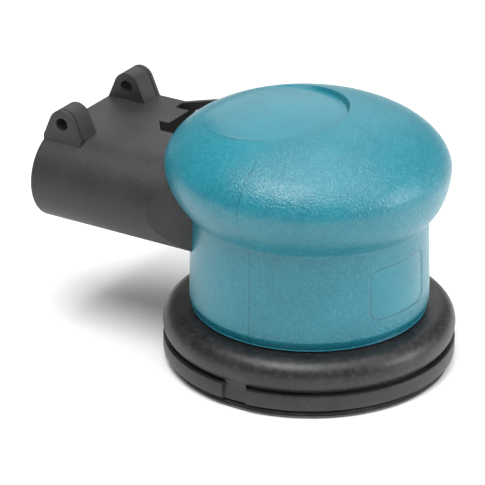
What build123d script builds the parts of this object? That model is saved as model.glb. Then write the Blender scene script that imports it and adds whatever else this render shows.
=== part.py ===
"""Palm-held random orbital sander, air driven, built as its separate pieces.

Millimetres, +Z up. Z is the motor axis, the origin lies on it in the plane of the pad's working
face, and the rear tube with the air inlet and exhaust points along -X. The spindle and the pad turn
on the crank axis, which stands half the orbit away from the motor axis.
"""

import os
from math import cos, radians, sin, sqrt, tan

from build123d import *

os.makedirs("parts", exist_ok=True)

# Clearances
seat_gap = 0.02          # pressed or glued seats
slip_gap = 0.05          # hand fits and threads, per side
running_gap = 0.3        # faces that pass each other
cover_gap = 0.2          # grip and shroud over the housing
edge_break = 0.3         # small chamfer on a sharp edge

# Pad and orbit
pad_diameter = 89.0
orbit_diameter = 2.4
orbit_angle = -48.0      # where the crank stands at rest, measured from +X
facing_thickness = 0.8
pad_lip_height = 2.2     # the full-width rim that shows below the shroud
foam_neck_inset = 3.0    # how far the foam steps in above the rim
foam_thickness = 7.2
foam_taper = 8.0
foam_shoulder = 1.5
plate_radius = 30.0
plate_thickness = 3.0
plate_chamfer = 1.2
stud_radius = 3.9
stud_length = 13.0
stud_head_radius = 9.0
stud_head_thickness = 1.5
stud_chamfer = 0.8
rivet_count = 4
rivet_radius = 1.5
rivet_head_radius = 3.0
rivet_head_thickness = 0.8
rivet_circle = 20.0

# Spindle and its two bearings
spindle_radius = 6.0
spindle_flange_radius = 10.5
spindle_flange_thickness = 1.2
spindle_collar_radius = 7.4
spindle_collar_height = 2.2
spindle_race_radius = 12.0
spindle_race_width = 6.0
spindle_wall = 2.5       # steel between the stud's end and the spindle's top
ring_thickness = 0.8     # spring steel of the retaining rings
ring_depth = 0.7         # how deep a retaining ring sits in its groove
ring_lip = 1.3           # how far a retaining ring stands out of its groove
ring_opening = 2.4
wrench_flat = 1.5        # depth of the wrench flats in the spindle's flange
clip_land = 1.1          # spindle left above its clip's groove

# Crank head, shaft and counterweight
head_wall = 3.2
head_roof = 2.5
head_lip = 1.2           # below the ring that holds the spindle's bearing in
clip_room = 2.6
clip_room_wall = 2.4     # room round the spindle for its clip
counterweight_radius = 28.0
counterweight_height = 11.0
counterweight_drop = 2.0
shaft_radius = 5.5
shoulder_width = 1.5     # shaft shoulder under the lower bearing
shaft_end_room = 0.4

# Motor
lower_journal_radius = 6.0
lower_race_radius = 14.0
upper_journal_radius = 5.0
upper_race_radius = 13.0
motor_race_width = 8.0
end_wall = 2.0           # lower end plate, above its bearing
upper_end_wall = 3.5     # upper end plate, below its bearing
flange_thickness = 6.0
upper_flange_thickness = 5.0
hub_wall = 3.2
bearing_stop = 1.5       # housing lip over the upper bearing
cylinder_length = 20.0
cylinder_bore_radius = 20.0
rotor_offset = 1.5       # rotor axis to bore axis
seal_gap = 0.2           # rotor to bore at the closest point
vane_count = 5
vane_thickness = 1.9
vane_depth = 6.5
vane_room = 0.4          # slot below the vane
vane_start = 36.0
exhaust_port_size = (9.0, 2.2)
exhaust_port_pitch = 4.0
key_width = 3.0
key_length = 14.0
dowel_radius = 1.5
cushion_ring_radius = 0.85
cushion_ring_inset = 3.0
spanner_hole_radius = 1.6
spanner_hole_depth = 2.5
spanner_hole_inset = 4.0

# Housing barrel
motor_bore_radius = 27.5
housing_wall = 7.2
chamber_wall = 3.7       # around the counterweight
roof_room = 2.0
roof_taper = 10.5        # how far the barrel draws in towards its roof
roof_taper_height = 9.0
roof_thickness = 3.0
housing_foot = 13.0      # height of the barrel's lower edge
lock_ring_height = 4.0

# Rear tube, inlet and exhaust
tube_length = 85.8       # motor axis to the tube's end
tube_width = 62.2
tube_height = 29.8
tube_rise = 8.2          # tube axis above the foot of the cylinder
tube_end_round = 1.5
facet_start = 41.4       # motor axis to where the tube's sides start to draw in
facet_angle = 23.0
port_spacing = 28.0      # inlet axis to exhaust axis
inlet_bore_radius = 10.0
inlet_length = 18.0
inlet_thread_radius = 5.7
inlet_thread_length = 14.0
inlet_rim = 0.8          # how far the inlet's bushing stands out of the end face
thread_relief_width = 0.8    # run-out groove behind the inlet's thread
thread_relief_depth = 0.5
screen_radius = 5.1
screen_thickness = 0.6
screen_step = 0.6        # how far the passage behind the screen steps in
screen_hole_radius = 0.5
screen_pitch = 1.6
screen_holes = 5
exhaust_bore_radius = 11.0
exhaust_duct_radius = 8.0
muffler_length = 26.0
muffler_bore = 5.0
grille_thickness = 3.0
grille_rim = 0.5
grille_slots = 5
grille_pitch = 3.2
grille_slot_size = (12.0, 1.6)
air_channel_radius = 4.0
air_channel_drop = 5.0   # air channel below the tube's axis
feed_radius = 3.0
feed_rise = 3.0          # feed to the motor above the tube's axis

# Lever ears on the tube
ear_hole_radius = 2.15
ear_span = 46.6          # over both ears
ear_thickness = 9.2
ear_end_distance = 7.9   # tube end to hole axis
ear_hole_height = 4.6    # hole axis above the tube's flat top
ear_top_radius = 4.7
ear_foot_width = 14.2
ear_sink = 4.0           # how far the ears reach down into the tube
ear_plate = 1.4          # outer face plate of each ear
ear_groove = 0.5         # groove between the plate and the ear's block
ear_groove_depth = 0.4
end_lip = 2.6            # rim round the tube's end face
end_recess = 1.5

# Throttle valve and its pocket
valve_x = -49.5
valve_bore_radius = 5.5
valve_ledge = 0.6        # step that the valve seat rests on
pocket_depth = 5.2
pocket_end = -44.0
pocket_sides = (-1.5, 21.5)
pocket_corner = -54.7    # where the pocket's slanted near corner ends
tab_sides = (5.0, 17.2)
tab_tip = -55.7
near_notch = -59.4
far_notch = -61.0
guard_wall = 1.9         # wall beside the pocket, rising towards the grip
guard_slope = 15.5
stem_radius = 2.0
stem_neck_radius = 1.2   # where the valve disc sits
stem_rise = 2.4          # stem above the tube's flat top
guide_height = 3.5
valve_disc_thickness = 2.0
valve_seat_height = 3.0
valve_seat_bore = 3.4
seal_radius = 0.6        # section of the stem's and the regulator's seals
spring_wire_radius = 0.4
spring_radius = 3.2
spring_turns = 4
spring_floor = 2.6       # tube wall under the valve spring

# Speed regulator
regulator_x = -60.0
regulator_radius = 4.5
regulator_height = 14.0
regulator_slot = 1.2     # screwdriver slot, as wide as it is deep
regulator_ring_height = 0.6
regulator_ring_bore = 3.3
regulator_port_wall = 1.0
regulator_seal_drop = 1.6

# Grip
grip_wall = 3.1
neck_slim = 0.4          # how much the barrel narrows up to the neck
neck_drop = 23.5         # neck below the bulge's widest height
bulge = 7.0              # bulge beyond the barrel
bulge_drop = 13.5        # bulge's widest height below the housing's roof
neck_middle = (0.3, 18.5)    # points of the neck's and the bulge's arcs: beyond the barrel's
neck_end = (2.6, 14.7)       # radius, and below the bulge's widest height
bulge_middle = (5.9, 7.5)
crown_rise = 6.5         # crown above the housing's roof
landing_radius = 24.0    # round landing for the lever's end
landing_centre = -14.0
landing_drop = 1.4
landing_shift = 3.0
landing_curve = 88.0

# Shroud
shroud_overhang = 2.1    # skirt beyond the pad
shroud_roll_radius = 5.9
shroud_seat_height = 18.3
skirt_lift = 2.8         # skirt's lower edge
skirt_height = 5.2
skirt_wall = 3.2
skirt_ledge = 0.5
slit_height = 1.3
slit_depth = 2.4
band_arcs = ((-84.7, 169.4), (95.0, 170.0))    # start and sweep of the skirt's two bands
shroud_seat_rise = 0.3   # grip and seat above the top of the shroud's roll
shroud_tuck = 1.5        # shroud below the foot of the barrel

# Heights
lip_step = 0.8
pad_top = facing_thickness + foam_thickness
spindle_base = pad_top + plate_thickness
race_base = spindle_base + spindle_flange_thickness + spindle_collar_height
race_top = race_base + 2 * spindle_race_width
head_top = race_top + clip_room + head_roof
lower_bearing_base = head_top + 1.0
cylinder_base = lower_bearing_base + motor_race_width + end_wall
lower_plate_base = cylinder_base - flange_thickness
cylinder_top = cylinder_base + cylinder_length
upper_bearing_base = cylinder_top + upper_end_wall
upper_plate_top = cylinder_top + upper_flange_thickness
upper_bearing_top = upper_bearing_base + motor_race_width
motor_roof = upper_bearing_top + roof_room
housing_top = motor_roof + roof_thickness
tube_z = cylinder_base + tube_rise
tube_top = tube_z + tube_height / 2
tube_bottom = tube_z - tube_height / 2
stud_top = pad_top + stud_length

# Radii
pad_radius = pad_diameter / 2
neck_radius = pad_radius - foam_neck_inset
housing_radius = motor_bore_radius + housing_wall
chamber_radius = housing_radius - chamber_wall
cover_radius = housing_radius + cover_gap
grip_radius = cover_radius + grip_wall
rotor_radius = cylinder_bore_radius - rotor_offset - seal_gap
head_radius = spindle_race_radius + head_wall
shroud_radius = pad_radius + shroud_overhang
hub_radius = lower_race_radius + hub_wall
upper_hub_radius = upper_race_radius + hub_wall
inlet_y = port_spacing / 2
exhaust_y = -port_spacing / 2

# The crank axis
crank_x = orbit_diameter / 2 * cos(radians(orbit_angle))
crank_y = orbit_diameter / 2 * sin(radians(orbit_angle))
crank_axis = Axis((crank_x, crank_y, 0), (0, 0, 1))
crank_floor = Plane((crank_x, crank_y, 0))
crank_section = Plane((crank_x, crank_y, 0), x_dir=(1, 0, 0), z_dir=(0, -1, 0))


# ---------------------------------------------------------------- pad

with BuildPart() as pad_facing:
    with BuildSketch(crank_floor):
        Circle(pad_radius)
    extrude(amount=facing_thickness)
    chamfer(pad_facing.edges().group_by(Axis.Z)[0], edge_break)
pad_facing.part.label = "pad_facing"
export_step(pad_facing.part, "parts/pad_facing.step")

with BuildPart() as pad_foam:
    with BuildSketch(crank_section):
        with BuildLine():
            Polyline(
                (0, facing_thickness),
                (pad_radius, facing_thickness),
                (pad_radius, pad_lip_height),
                (neck_radius, pad_lip_height + lip_step),
                (neck_radius, pad_top - foam_shoulder),
                (neck_radius - foam_taper, pad_top),
                (0, pad_top),
                close=True,
            )
        make_face()
    revolve(axis=crank_axis)
pad_foam.part.label = "pad_foam"
export_step(pad_foam.part, "parts/pad_foam.step")

with BuildPart() as pad_plate:
    with BuildSketch(crank_floor.offset(pad_top)):
        Circle(plate_radius)
    extrude(amount=plate_thickness)
    chamfer(pad_plate.edges().group_by(Axis.Z)[-1], plate_chamfer)
    with BuildSketch(crank_floor.offset(pad_top)):
        Circle(stud_head_radius + slip_gap)
    extrude(amount=stud_head_thickness, mode=Mode.SUBTRACT)
    with BuildSketch(crank_floor.offset(pad_top)):
        Circle(stud_radius + slip_gap)
        with PolarLocations(rivet_circle, rivet_count):
            Circle(rivet_radius + slip_gap)
    extrude(amount=plate_thickness, mode=Mode.SUBTRACT)
pad_plate.part.label = "pad_plate"
export_step(pad_plate.part, "parts/pad_plate.step")

with BuildPart() as pad_rivets:
    with BuildSketch(crank_floor.offset(pad_top)):
        with PolarLocations(rivet_circle, rivet_count):
            Circle(rivet_radius)
    extrude(amount=plate_thickness)
    with BuildSketch(crank_floor.offset(spindle_base)):
        with PolarLocations(rivet_circle, rivet_count):
            Circle(rivet_head_radius)
    extrude(amount=rivet_head_thickness)
pad_rivets.part.label = "pad_rivets"
export_step(pad_rivets.part, "parts/pad_rivets.step")

with BuildPart() as pad_stud:
    with BuildSketch(crank_floor.offset(pad_top)):
        Circle(stud_head_radius)
    extrude(amount=stud_head_thickness)
    with BuildSketch(crank_floor.offset(pad_top)):
        Circle(stud_radius)
    extrude(amount=stud_length)
    chamfer(pad_stud.edges().group_by(Axis.Z)[-1], stud_chamfer)
pad_stud.part.label = "pad_stud"
export_step(pad_stud.part, "parts/pad_stud.step")


# ---------------------------------------------------------------- spindle

ring_groove = ring_thickness + 2 * slip_gap
clip_base = race_top + 2 * slip_gap
spindle_top = clip_base + ring_groove + clip_land

with BuildPart() as spindle:
    with BuildSketch(crank_floor.offset(spindle_base)):
        Circle(spindle_flange_radius)
    extrude(amount=spindle_flange_thickness)
    with BuildSketch(crank_floor.offset(spindle_base)):
        Circle(spindle_collar_radius)
    extrude(amount=race_base - spindle_base)
    with BuildSketch(crank_floor.offset(spindle_base)):
        Circle(spindle_radius)
    extrude(amount=spindle_top - spindle_base)
    with BuildSketch(crank_floor.offset(spindle_base)):
        Circle(stud_radius + slip_gap)
    extrude(amount=stud_top + spindle_wall / 2 - spindle_base, mode=Mode.SUBTRACT)
    with BuildSketch(crank_floor.offset(clip_base)):
        Circle(spindle_radius + 1)
        Circle(spindle_radius - ring_depth, mode=Mode.SUBTRACT)
    extrude(amount=ring_groove, mode=Mode.SUBTRACT)
    with BuildSketch(crank_floor.offset(spindle_base)):
        with PolarLocations(spindle_flange_radius, 2):
            Rectangle(2 * wrench_flat, 2 * spindle_flange_radius)
    extrude(amount=spindle_flange_thickness, mode=Mode.SUBTRACT)
spindle.part.label = "spindle"
export_step(spindle.part, "parts/spindle.step")

with BuildPart() as spindle_clip:
    with BuildSketch(crank_floor.offset(clip_base + slip_gap)):
        Circle(spindle_radius + ring_lip)
        Circle(spindle_radius - ring_depth + seat_gap, mode=Mode.SUBTRACT)
        with Locations((spindle_radius, 0)):
            Rectangle(4 * ring_lip, ring_opening, mode=Mode.SUBTRACT)
    extrude(amount=ring_thickness)
spindle_clip.part.label = "spindle_clip"
export_step(spindle_clip.part, "parts/spindle_clip.step")


# ---------------------------------------------------------------- bearings

ball_share = 0.29        # ball radius over the depth of the bearing's section
land_share = 0.68        # shoulder beside the ball over the ball radius


def bearing(name, section, axis, base, width, rows, bore_radius, outer_radius, balls):
    """Make a ball bearing's outer races, inner races and balls, each under its own name."""
    pitch = (bore_radius + outer_radius) / 2
    ball_radius = (outer_radius - bore_radius) * ball_share
    land = ball_radius * land_share
    centres = [base + width * (row + 0.5) for row in range(rows)]
    floor = Plane(section.origin)

    with BuildPart() as outer_race:
        for centre in centres:
            with BuildSketch(floor.offset(centre - width / 2)):
                Circle(outer_radius - seat_gap)
                Circle(pitch + land, mode=Mode.SUBTRACT)
            extrude(amount=width - seat_gap)
        with BuildSketch(section):
            with Locations(*[(pitch, centre) for centre in centres]):
                Circle(ball_radius + 2 * slip_gap)
        revolve(axis=axis, mode=Mode.SUBTRACT)
    outer_race.part.label = f"{name}_outer_race"
    export_step(outer_race.part, f"parts/{name}_outer_race.step")

    with BuildPart() as inner_race:
        for centre in centres:
            with BuildSketch(floor.offset(centre - width / 2)):
                Circle(pitch - land)
                Circle(bore_radius + seat_gap, mode=Mode.SUBTRACT)
            extrude(amount=width - seat_gap)
        with BuildSketch(section):
            with Locations(*[(pitch, centre) for centre in centres]):
                Circle(ball_radius + 2 * slip_gap)
        revolve(axis=axis, mode=Mode.SUBTRACT)
    inner_race.part.label = f"{name}_inner_race"
    export_step(inner_race.part, f"parts/{name}_inner_race.step")

    with BuildPart() as ball_set:
        for centre in centres:
            with Locations(floor.offset(centre)):
                with PolarLocations(pitch, balls):
                    Sphere(ball_radius)
    ball_set.part.label = f"{name}_balls"
    export_step(ball_set.part, f"parts/{name}_balls.step")


bearing(
    "spindle_bearing", crank_section, crank_axis, race_base, spindle_race_width, 2,
    spindle_radius, spindle_race_radius, 9,
)
bearing(
    "lower_bearing", Plane.XZ, Axis.Z, lower_bearing_base, motor_race_width, 1,
    lower_journal_radius, lower_race_radius, 8,
)
bearing(
    "upper_bearing", Plane.XZ, Axis.Z, upper_bearing_base, motor_race_width, 1,
    upper_journal_radius, upper_race_radius, 8,
)


# ---------------------------------------------------------------- crank shaft

head_base = race_base - ring_thickness - head_lip
ring_base = race_base - ring_groove
counterweight_base = head_top - counterweight_drop - counterweight_height
shaft_top = motor_roof - shaft_end_room
shaft_clip_base = upper_bearing_top + 2 * slip_gap

with BuildPart() as crank_shaft:
    with BuildSketch(crank_floor.offset(head_base)):
        Circle(head_radius)
    extrude(amount=head_top - head_base)
    with BuildSketch(Plane.XY.offset(counterweight_base)):
        with Locations(Location((0, 0), orbit_angle)):
            Circle(counterweight_radius)
            with Locations((counterweight_radius, 0)):
                Rectangle(2 * counterweight_radius, 2 * counterweight_radius, mode=Mode.SUBTRACT)
    extrude(amount=counterweight_height)
    with BuildSketch(Plane.XY.offset(head_top)):
        Circle(lower_journal_radius + shoulder_width)
    extrude(amount=lower_bearing_base - head_top)
    with BuildSketch(Plane.XY.offset(lower_bearing_base)):
        Circle(lower_journal_radius)
    extrude(amount=cylinder_base - lower_bearing_base)
    with BuildSketch(Plane.XY.offset(cylinder_base)):
        Circle(shaft_radius)
    extrude(amount=cylinder_length)
    with BuildSketch(Plane.XY.offset(cylinder_top)):
        Circle(upper_journal_radius)
    extrude(amount=shaft_top - cylinder_top)
    with BuildSketch(crank_floor.offset(head_base)):
        Circle(spindle_race_radius)
    extrude(amount=race_top - head_base, mode=Mode.SUBTRACT)
    with BuildSketch(crank_floor.offset(race_top)):
        Circle(spindle_radius + clip_room_wall)
    extrude(amount=clip_room, mode=Mode.SUBTRACT)
    with BuildSketch(crank_floor.offset(ring_base)):
        Circle(spindle_race_radius + ring_depth)
    extrude(amount=ring_groove, mode=Mode.SUBTRACT)
    with BuildSketch(Plane.XY.offset(shaft_clip_base)):
        Circle(upper_journal_radius + 1)
        Circle(upper_journal_radius - ring_depth, mode=Mode.SUBTRACT)
    extrude(amount=ring_groove, mode=Mode.SUBTRACT)
    with BuildSketch(Plane.XY.offset(cylinder_base + (cylinder_length - key_length) / 2)):
        with Locations((shaft_radius, 0)):
            Rectangle(key_width + 2 * slip_gap, key_width + 2 * slip_gap)
    extrude(amount=key_length, mode=Mode.SUBTRACT)
crank_shaft.part.label = "crank_shaft"
export_step(crank_shaft.part, "parts/crank_shaft.step")

with BuildPart() as bearing_retaining_ring:
    with BuildSketch(crank_floor.offset(ring_base + slip_gap)):
        Circle(spindle_race_radius + ring_depth - seat_gap)
        Circle(spindle_race_radius - ring_lip, mode=Mode.SUBTRACT)
        with Locations((-spindle_race_radius, 0)):
            Rectangle(4 * ring_lip, 2 * ring_opening, mode=Mode.SUBTRACT)
    extrude(amount=ring_thickness)
bearing_retaining_ring.part.label = "bearing_retaining_ring"
export_step(bearing_retaining_ring.part, "parts/bearing_retaining_ring.step")

with BuildPart() as shaft_clip:
    with BuildSketch(Plane.XY.offset(shaft_clip_base + slip_gap)):
        Circle(upper_journal_radius + ring_lip)
        Circle(upper_journal_radius - ring_depth + seat_gap, mode=Mode.SUBTRACT)
        with Locations((upper_journal_radius, 0)):
            Rectangle(4 * ring_lip, ring_opening, mode=Mode.SUBTRACT)
    extrude(amount=ring_thickness)
shaft_clip.part.label = "shaft_clip"
export_step(shaft_clip.part, "parts/shaft_clip.step")


# ---------------------------------------------------------------- air motor

rotor_base = cylinder_base + slip_gap
rotor_length = cylinder_length - 2 * slip_gap
vane_slot_depth = vane_depth + vane_room

with BuildPart() as rotor:
    with BuildSketch(Plane.XY.offset(rotor_base)):
        Circle(rotor_radius)
        Circle(shaft_radius + seat_gap, mode=Mode.SUBTRACT)
        with Locations((shaft_radius, 0)):
            Rectangle(key_width + 2 * slip_gap, key_width + 2 * slip_gap, mode=Mode.SUBTRACT)
        with PolarLocations(rotor_radius - vane_slot_depth / 2 + 1, vane_count, start_angle=vane_start):
            Rectangle(vane_slot_depth + 2, vane_thickness + 2 * slip_gap, mode=Mode.SUBTRACT)
    extrude(amount=rotor_length)
rotor.part.label = "rotor"
export_step(rotor.part, "parts/rotor.step")

with BuildPart() as rotor_vanes:
    with BuildSketch(Plane.XY.offset(rotor_base)):
        with PolarLocations(rotor_radius - vane_depth / 2, vane_count, start_angle=vane_start):
            Rectangle(vane_depth, vane_thickness)
    extrude(amount=rotor_length)
rotor_vanes.part.label = "rotor_vanes"
export_step(rotor_vanes.part, "parts/rotor_vanes.step")

with BuildPart() as rotor_key:
    with BuildSketch(Plane.XY.offset(cylinder_base + (cylinder_length - key_length) / 2)):
        with Locations((shaft_radius, 0)):
            Rectangle(key_width, key_width)
    extrude(amount=key_length)
rotor_key.part.label = "rotor_key"
export_step(rotor_key.part, "parts/rotor_key.step")

motor_radius = motor_bore_radius - slip_gap
dowel_circle = (motor_radius + cylinder_bore_radius + rotor_offset) / 2

with BuildPart() as cylinder:
    with BuildSketch(Plane.XY.offset(cylinder_base)):
        Circle(motor_radius)
        with Locations((0, rotor_offset)):
            Circle(cylinder_bore_radius, mode=Mode.SUBTRACT)
        with Locations((0, -dowel_circle)):
            Circle(dowel_radius + slip_gap, mode=Mode.SUBTRACT)
    extrude(amount=cylinder_length)
    with BuildSketch(Plane.YZ):
        with Locations((inlet_y, tube_z + feed_rise)):
            Circle(feed_radius)
        with GridLocations(0, exhaust_port_pitch, 1, 3):
            with Locations((exhaust_y, tube_z)):
                SlotOverall(*exhaust_port_size)
    extrude(amount=-motor_bore_radius - 1, mode=Mode.SUBTRACT)
cylinder.part.label = "cylinder"
export_step(cylinder.part, "parts/cylinder.step")

with BuildPart() as lower_end_plate:
    with BuildSketch(Plane.XY.offset(lower_plate_base)):
        Circle(motor_radius)
    extrude(amount=flange_thickness)
    with BuildSketch(Plane.XY.offset(lower_bearing_base)):
        Circle(hub_radius)
    extrude(amount=cylinder_base - lower_bearing_base)
    with BuildSketch(Plane.XY.offset(lower_bearing_base)):
        Circle(lower_race_radius)
    extrude(amount=motor_race_width, mode=Mode.SUBTRACT)
    with BuildSketch(Plane.XY.offset(lower_bearing_base)):
        Circle(lower_journal_radius + running_gap)
        with Locations((0, -dowel_circle)):
            Circle(dowel_radius + slip_gap)
    extrude(amount=cylinder_base - lower_bearing_base, mode=Mode.SUBTRACT)
lower_end_plate.part.label = "lower_end_plate"
export_step(lower_end_plate.part, "parts/lower_end_plate.step")

with BuildPart() as upper_end_plate:
    with BuildSketch(Plane.XY.offset(cylinder_top)):
        Circle(motor_radius)
    extrude(amount=upper_plate_top - cylinder_top)
    with BuildSketch(Plane.XY.offset(cylinder_top)):
        Circle(upper_hub_radius)
    extrude(amount=upper_bearing_top - cylinder_top)
    with BuildSketch(Plane.XY.offset(upper_bearing_base)):
        Circle(upper_race_radius)
    extrude(amount=motor_race_width, mode=Mode.SUBTRACT)
    with BuildSketch(Plane.XY.offset(cylinder_top)):
        Circle(upper_journal_radius + running_gap)
        with Locations((0, -dowel_circle)):
            Circle(dowel_radius + slip_gap)
    extrude(amount=upper_bearing_top - cylinder_top, mode=Mode.SUBTRACT)
upper_end_plate.part.label = "upper_end_plate"
export_step(upper_end_plate.part, "parts/upper_end_plate.step")

with BuildPart() as motor_dowel:
    with BuildSketch(Plane.XY.offset(lower_plate_base + 0.5)):
        with Locations((0, -dowel_circle)):
            Circle(dowel_radius)
    extrude(amount=upper_plate_top - lower_plate_base - 1.0)
motor_dowel.part.label = "motor_dowel"
export_step(motor_dowel.part, "parts/motor_dowel.step")

with BuildPart() as motor_cushion_ring:
    with BuildSketch(Plane.XZ):
        with Locations((motor_radius - cushion_ring_inset, upper_plate_top + cushion_ring_radius)):
            Circle(cushion_ring_radius)
    revolve(axis=Axis.Z)
motor_cushion_ring.part.label = "motor_cushion_ring"
export_step(motor_cushion_ring.part, "parts/motor_cushion_ring.step")

with BuildPart() as lock_ring:
    with BuildSketch(Plane.XY.offset(lower_plate_base - lock_ring_height)):
        Circle(motor_radius)
        Circle(hub_radius + running_gap, mode=Mode.SUBTRACT)
    extrude(amount=lock_ring_height)
    with BuildSketch(Plane.XY.offset(lower_plate_base - lock_ring_height)):
        with PolarLocations(motor_radius - spanner_hole_inset, 4):
            Circle(spanner_hole_radius)
    extrude(amount=spanner_hole_depth, mode=Mode.SUBTRACT)
lock_ring.part.label = "lock_ring"
export_step(lock_ring.part, "parts/lock_ring.step")


# ---------------------------------------------------------------- housing

valve_floor = tube_bottom + spring_floor
pocket_floor = tube_top - pocket_depth
channel_z = tube_z - air_channel_drop
feed_z = tube_z + feed_rise
seat_base = feed_z - feed_radius - valve_seat_height - 4 * slip_gap
ear_x = -tube_length + ear_end_distance
ear_z = tube_top + ear_hole_height
hub_bore_base = upper_plate_top + 2 * cushion_ring_radius
end_floor = -tube_length + end_recess
exhaust_floor = end_floor - grille_rim + grille_thickness + muffler_length
regulator_clip_base = tube_bottom + regulator_ring_height
block_edge = ear_span / 2 - ear_plate - ear_groove
ear_layers = (
    (ear_span / 2, ear_span, ear_groove_depth),
    (ear_span / 2, ear_plate, 0),
    (block_edge, 2 * block_edge, 0),
    (ear_plate - ear_span / 2, ear_plate, 0),
)
guard_side = pocket_sides[1] + guard_wall
guard_rise = (pocket_end - far_notch) * tan(radians(guard_slope))


def tube_solid(clearance):
    """Make the rear tube, grown by a clearance, with its sides drawn in towards the grip."""
    side = tube_width / 2 + clearance
    with BuildPart() as tube:
        with BuildSketch(Plane.YZ.offset(-tube_length)):
            with Locations((0, tube_z)):
                SlotOverall(tube_width + 2 * clearance, tube_height + 2 * clearance)
        extrude(amount=tube_length)
        fillet(tube.edges().group_by(Axis.X)[0], tube_end_round)
        with BuildSketch(Plane.XY.offset(tube_bottom - 1)):
            with BuildLine():
                Polyline(
                    (-facet_start, side),
                    (0, side),
                    (0, side - facet_start * tan(radians(facet_angle))),
                    close=True,
                )
            make_face()
            mirror(about=Plane.XZ)
        extrude(amount=tube_height + 2, mode=Mode.SUBTRACT)
    return tube.part


with BuildPart() as housing:
    with BuildSketch(Plane.XZ):
        with BuildLine():
            Polyline(
                (0, housing_foot),
                (housing_radius, housing_foot),
                (housing_radius, housing_top - roof_taper_height),
                (housing_radius - roof_taper, housing_top),
                (0, housing_top),
                close=True,
            )
        make_face()
    revolve(axis=Axis.Z)
    add(tube_solid(0))
    # The tube's square shoulder beside the throttle pocket, and the guard that rises from it
    with BuildSketch(Plane.XY.offset(tube_z)):
        with BuildLine():
            Polyline(
                (ear_x, inlet_y),
                (ear_x, guard_side),
                (pocket_end, guard_side),
                (pocket_end, inlet_y),
                close=True,
            )
        make_face()
    extrude(amount=tube_height / 2)
    with BuildSketch(Plane.XZ.offset(-guard_side)):
        with BuildLine():
            Polyline(
                (far_notch, tube_top),
                (pocket_end, tube_top + guard_rise),
                (pocket_end, tube_top),
                close=True,
            )
        make_face()
    extrude(amount=guard_wall)
    # Two ears on the tube for the throttle lever's pin, built up in layers across the tube
    for face_y, layer_width, inset in ear_layers:
        with BuildSketch(Plane.XZ.offset(-face_y)):
            with Locations((ear_x, ear_z)):
                Circle(ear_top_radius - inset)
            with Locations((ear_x, tube_top - ear_sink / 2)):
                Rectangle(ear_foot_width - 2 * inset, ear_sink)
            make_hull()
        extrude(amount=layer_width)
    with BuildSketch(Plane.XY.offset(tube_top)):
        with Locations((ear_x, 0)):
            Rectangle(2 * ear_foot_width, ear_span - 2 * ear_thickness)
    extrude(amount=ear_hole_height + 2 * ear_top_radius, mode=Mode.SUBTRACT)
    with BuildSketch(Plane.XZ.offset(-ear_span / 2)):
        with Locations((ear_x, ear_z)):
            Circle(ear_hole_radius)
    extrude(amount=ear_span, mode=Mode.SUBTRACT)
    # Motor bore, counterweight chamber, bearing hub and shaft end
    with BuildSketch(Plane.XY.offset(housing_foot)):
        Circle(motor_bore_radius)
    extrude(amount=hub_bore_base - housing_foot, mode=Mode.SUBTRACT)
    with BuildSketch(Plane.XY.offset(housing_foot)):
        Circle(chamber_radius)
    extrude(amount=lower_plate_base - lock_ring_height - housing_foot, mode=Mode.SUBTRACT)
    with BuildSketch(Plane.XY.offset(housing_foot)):
        Circle(upper_hub_radius + slip_gap)
    extrude(amount=upper_bearing_top - housing_foot, mode=Mode.SUBTRACT)
    with BuildSketch(Plane.XY.offset(housing_foot)):
        Circle(upper_race_radius - bearing_stop)
    extrude(amount=motor_roof - housing_foot, mode=Mode.SUBTRACT)
    # Recessed end face with the inlet's and the exhaust's bores
    with BuildSketch(Plane.YZ.offset(-tube_length)):
        with Locations((0, tube_z)):
            SlotOverall(tube_width - 2 * end_lip, tube_height - 2 * end_lip)
    extrude(amount=end_recess, mode=Mode.SUBTRACT)
    with BuildSketch(Plane.YZ.offset(-tube_length)):
        with Locations((inlet_y, tube_z)):
            Circle(inlet_bore_radius)
    extrude(amount=end_recess + inlet_length, mode=Mode.SUBTRACT)
    with BuildSketch(Plane.YZ.offset(-tube_length)):
        with Locations((exhaust_y, tube_z)):
            Circle(exhaust_bore_radius)
    extrude(amount=tube_length + exhaust_floor, mode=Mode.SUBTRACT)
    with BuildSketch(Plane.YZ.offset(exhaust_floor)):
        with Locations((exhaust_y, tube_z)):
            Circle(exhaust_duct_radius)
    extrude(amount=exhaust_bore_radius - motor_bore_radius - exhaust_floor, mode=Mode.SUBTRACT)
    # Air channel, valve chamber and the feed to the motor
    with BuildSketch(Plane.YZ.offset(-tube_length)):
        with Locations((inlet_y, channel_z)):
            Circle(air_channel_radius)
    extrude(amount=tube_length + valve_x, mode=Mode.SUBTRACT)
    with BuildSketch(Plane.XY.offset(valve_floor)):
        with Locations((valve_x, inlet_y)):
            Circle(valve_bore_radius - valve_ledge)
    extrude(amount=seat_base - valve_floor, mode=Mode.SUBTRACT)
    with BuildSketch(Plane.XY.offset(seat_base)):
        with Locations((valve_x, inlet_y)):
            Circle(valve_bore_radius)
    extrude(amount=tube_top + 1 - seat_base, mode=Mode.SUBTRACT)
    with BuildSketch(Plane.YZ.offset(valve_x)):
        with Locations((inlet_y, feed_z)):
            Circle(feed_radius)
    extrude(amount=-valve_x - cylinder_bore_radius, mode=Mode.SUBTRACT)
    # Throttle pocket with its tab, open upwards
    with BuildSketch(Plane.XY.offset(pocket_floor)):
        with BuildLine():
            Polyline(
                (pocket_corner, pocket_sides[0]),
                (near_notch, tab_sides[0]),
                (tab_tip, tab_sides[0]),
                (tab_tip, tab_sides[1]),
                (far_notch, tab_sides[1]),
                (far_notch, pocket_sides[1]),
                (pocket_end, pocket_sides[1]),
                (pocket_end, pocket_sides[0]),
                close=True,
            )
        make_face()
    extrude(amount=pocket_depth + 1, mode=Mode.SUBTRACT)
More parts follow.
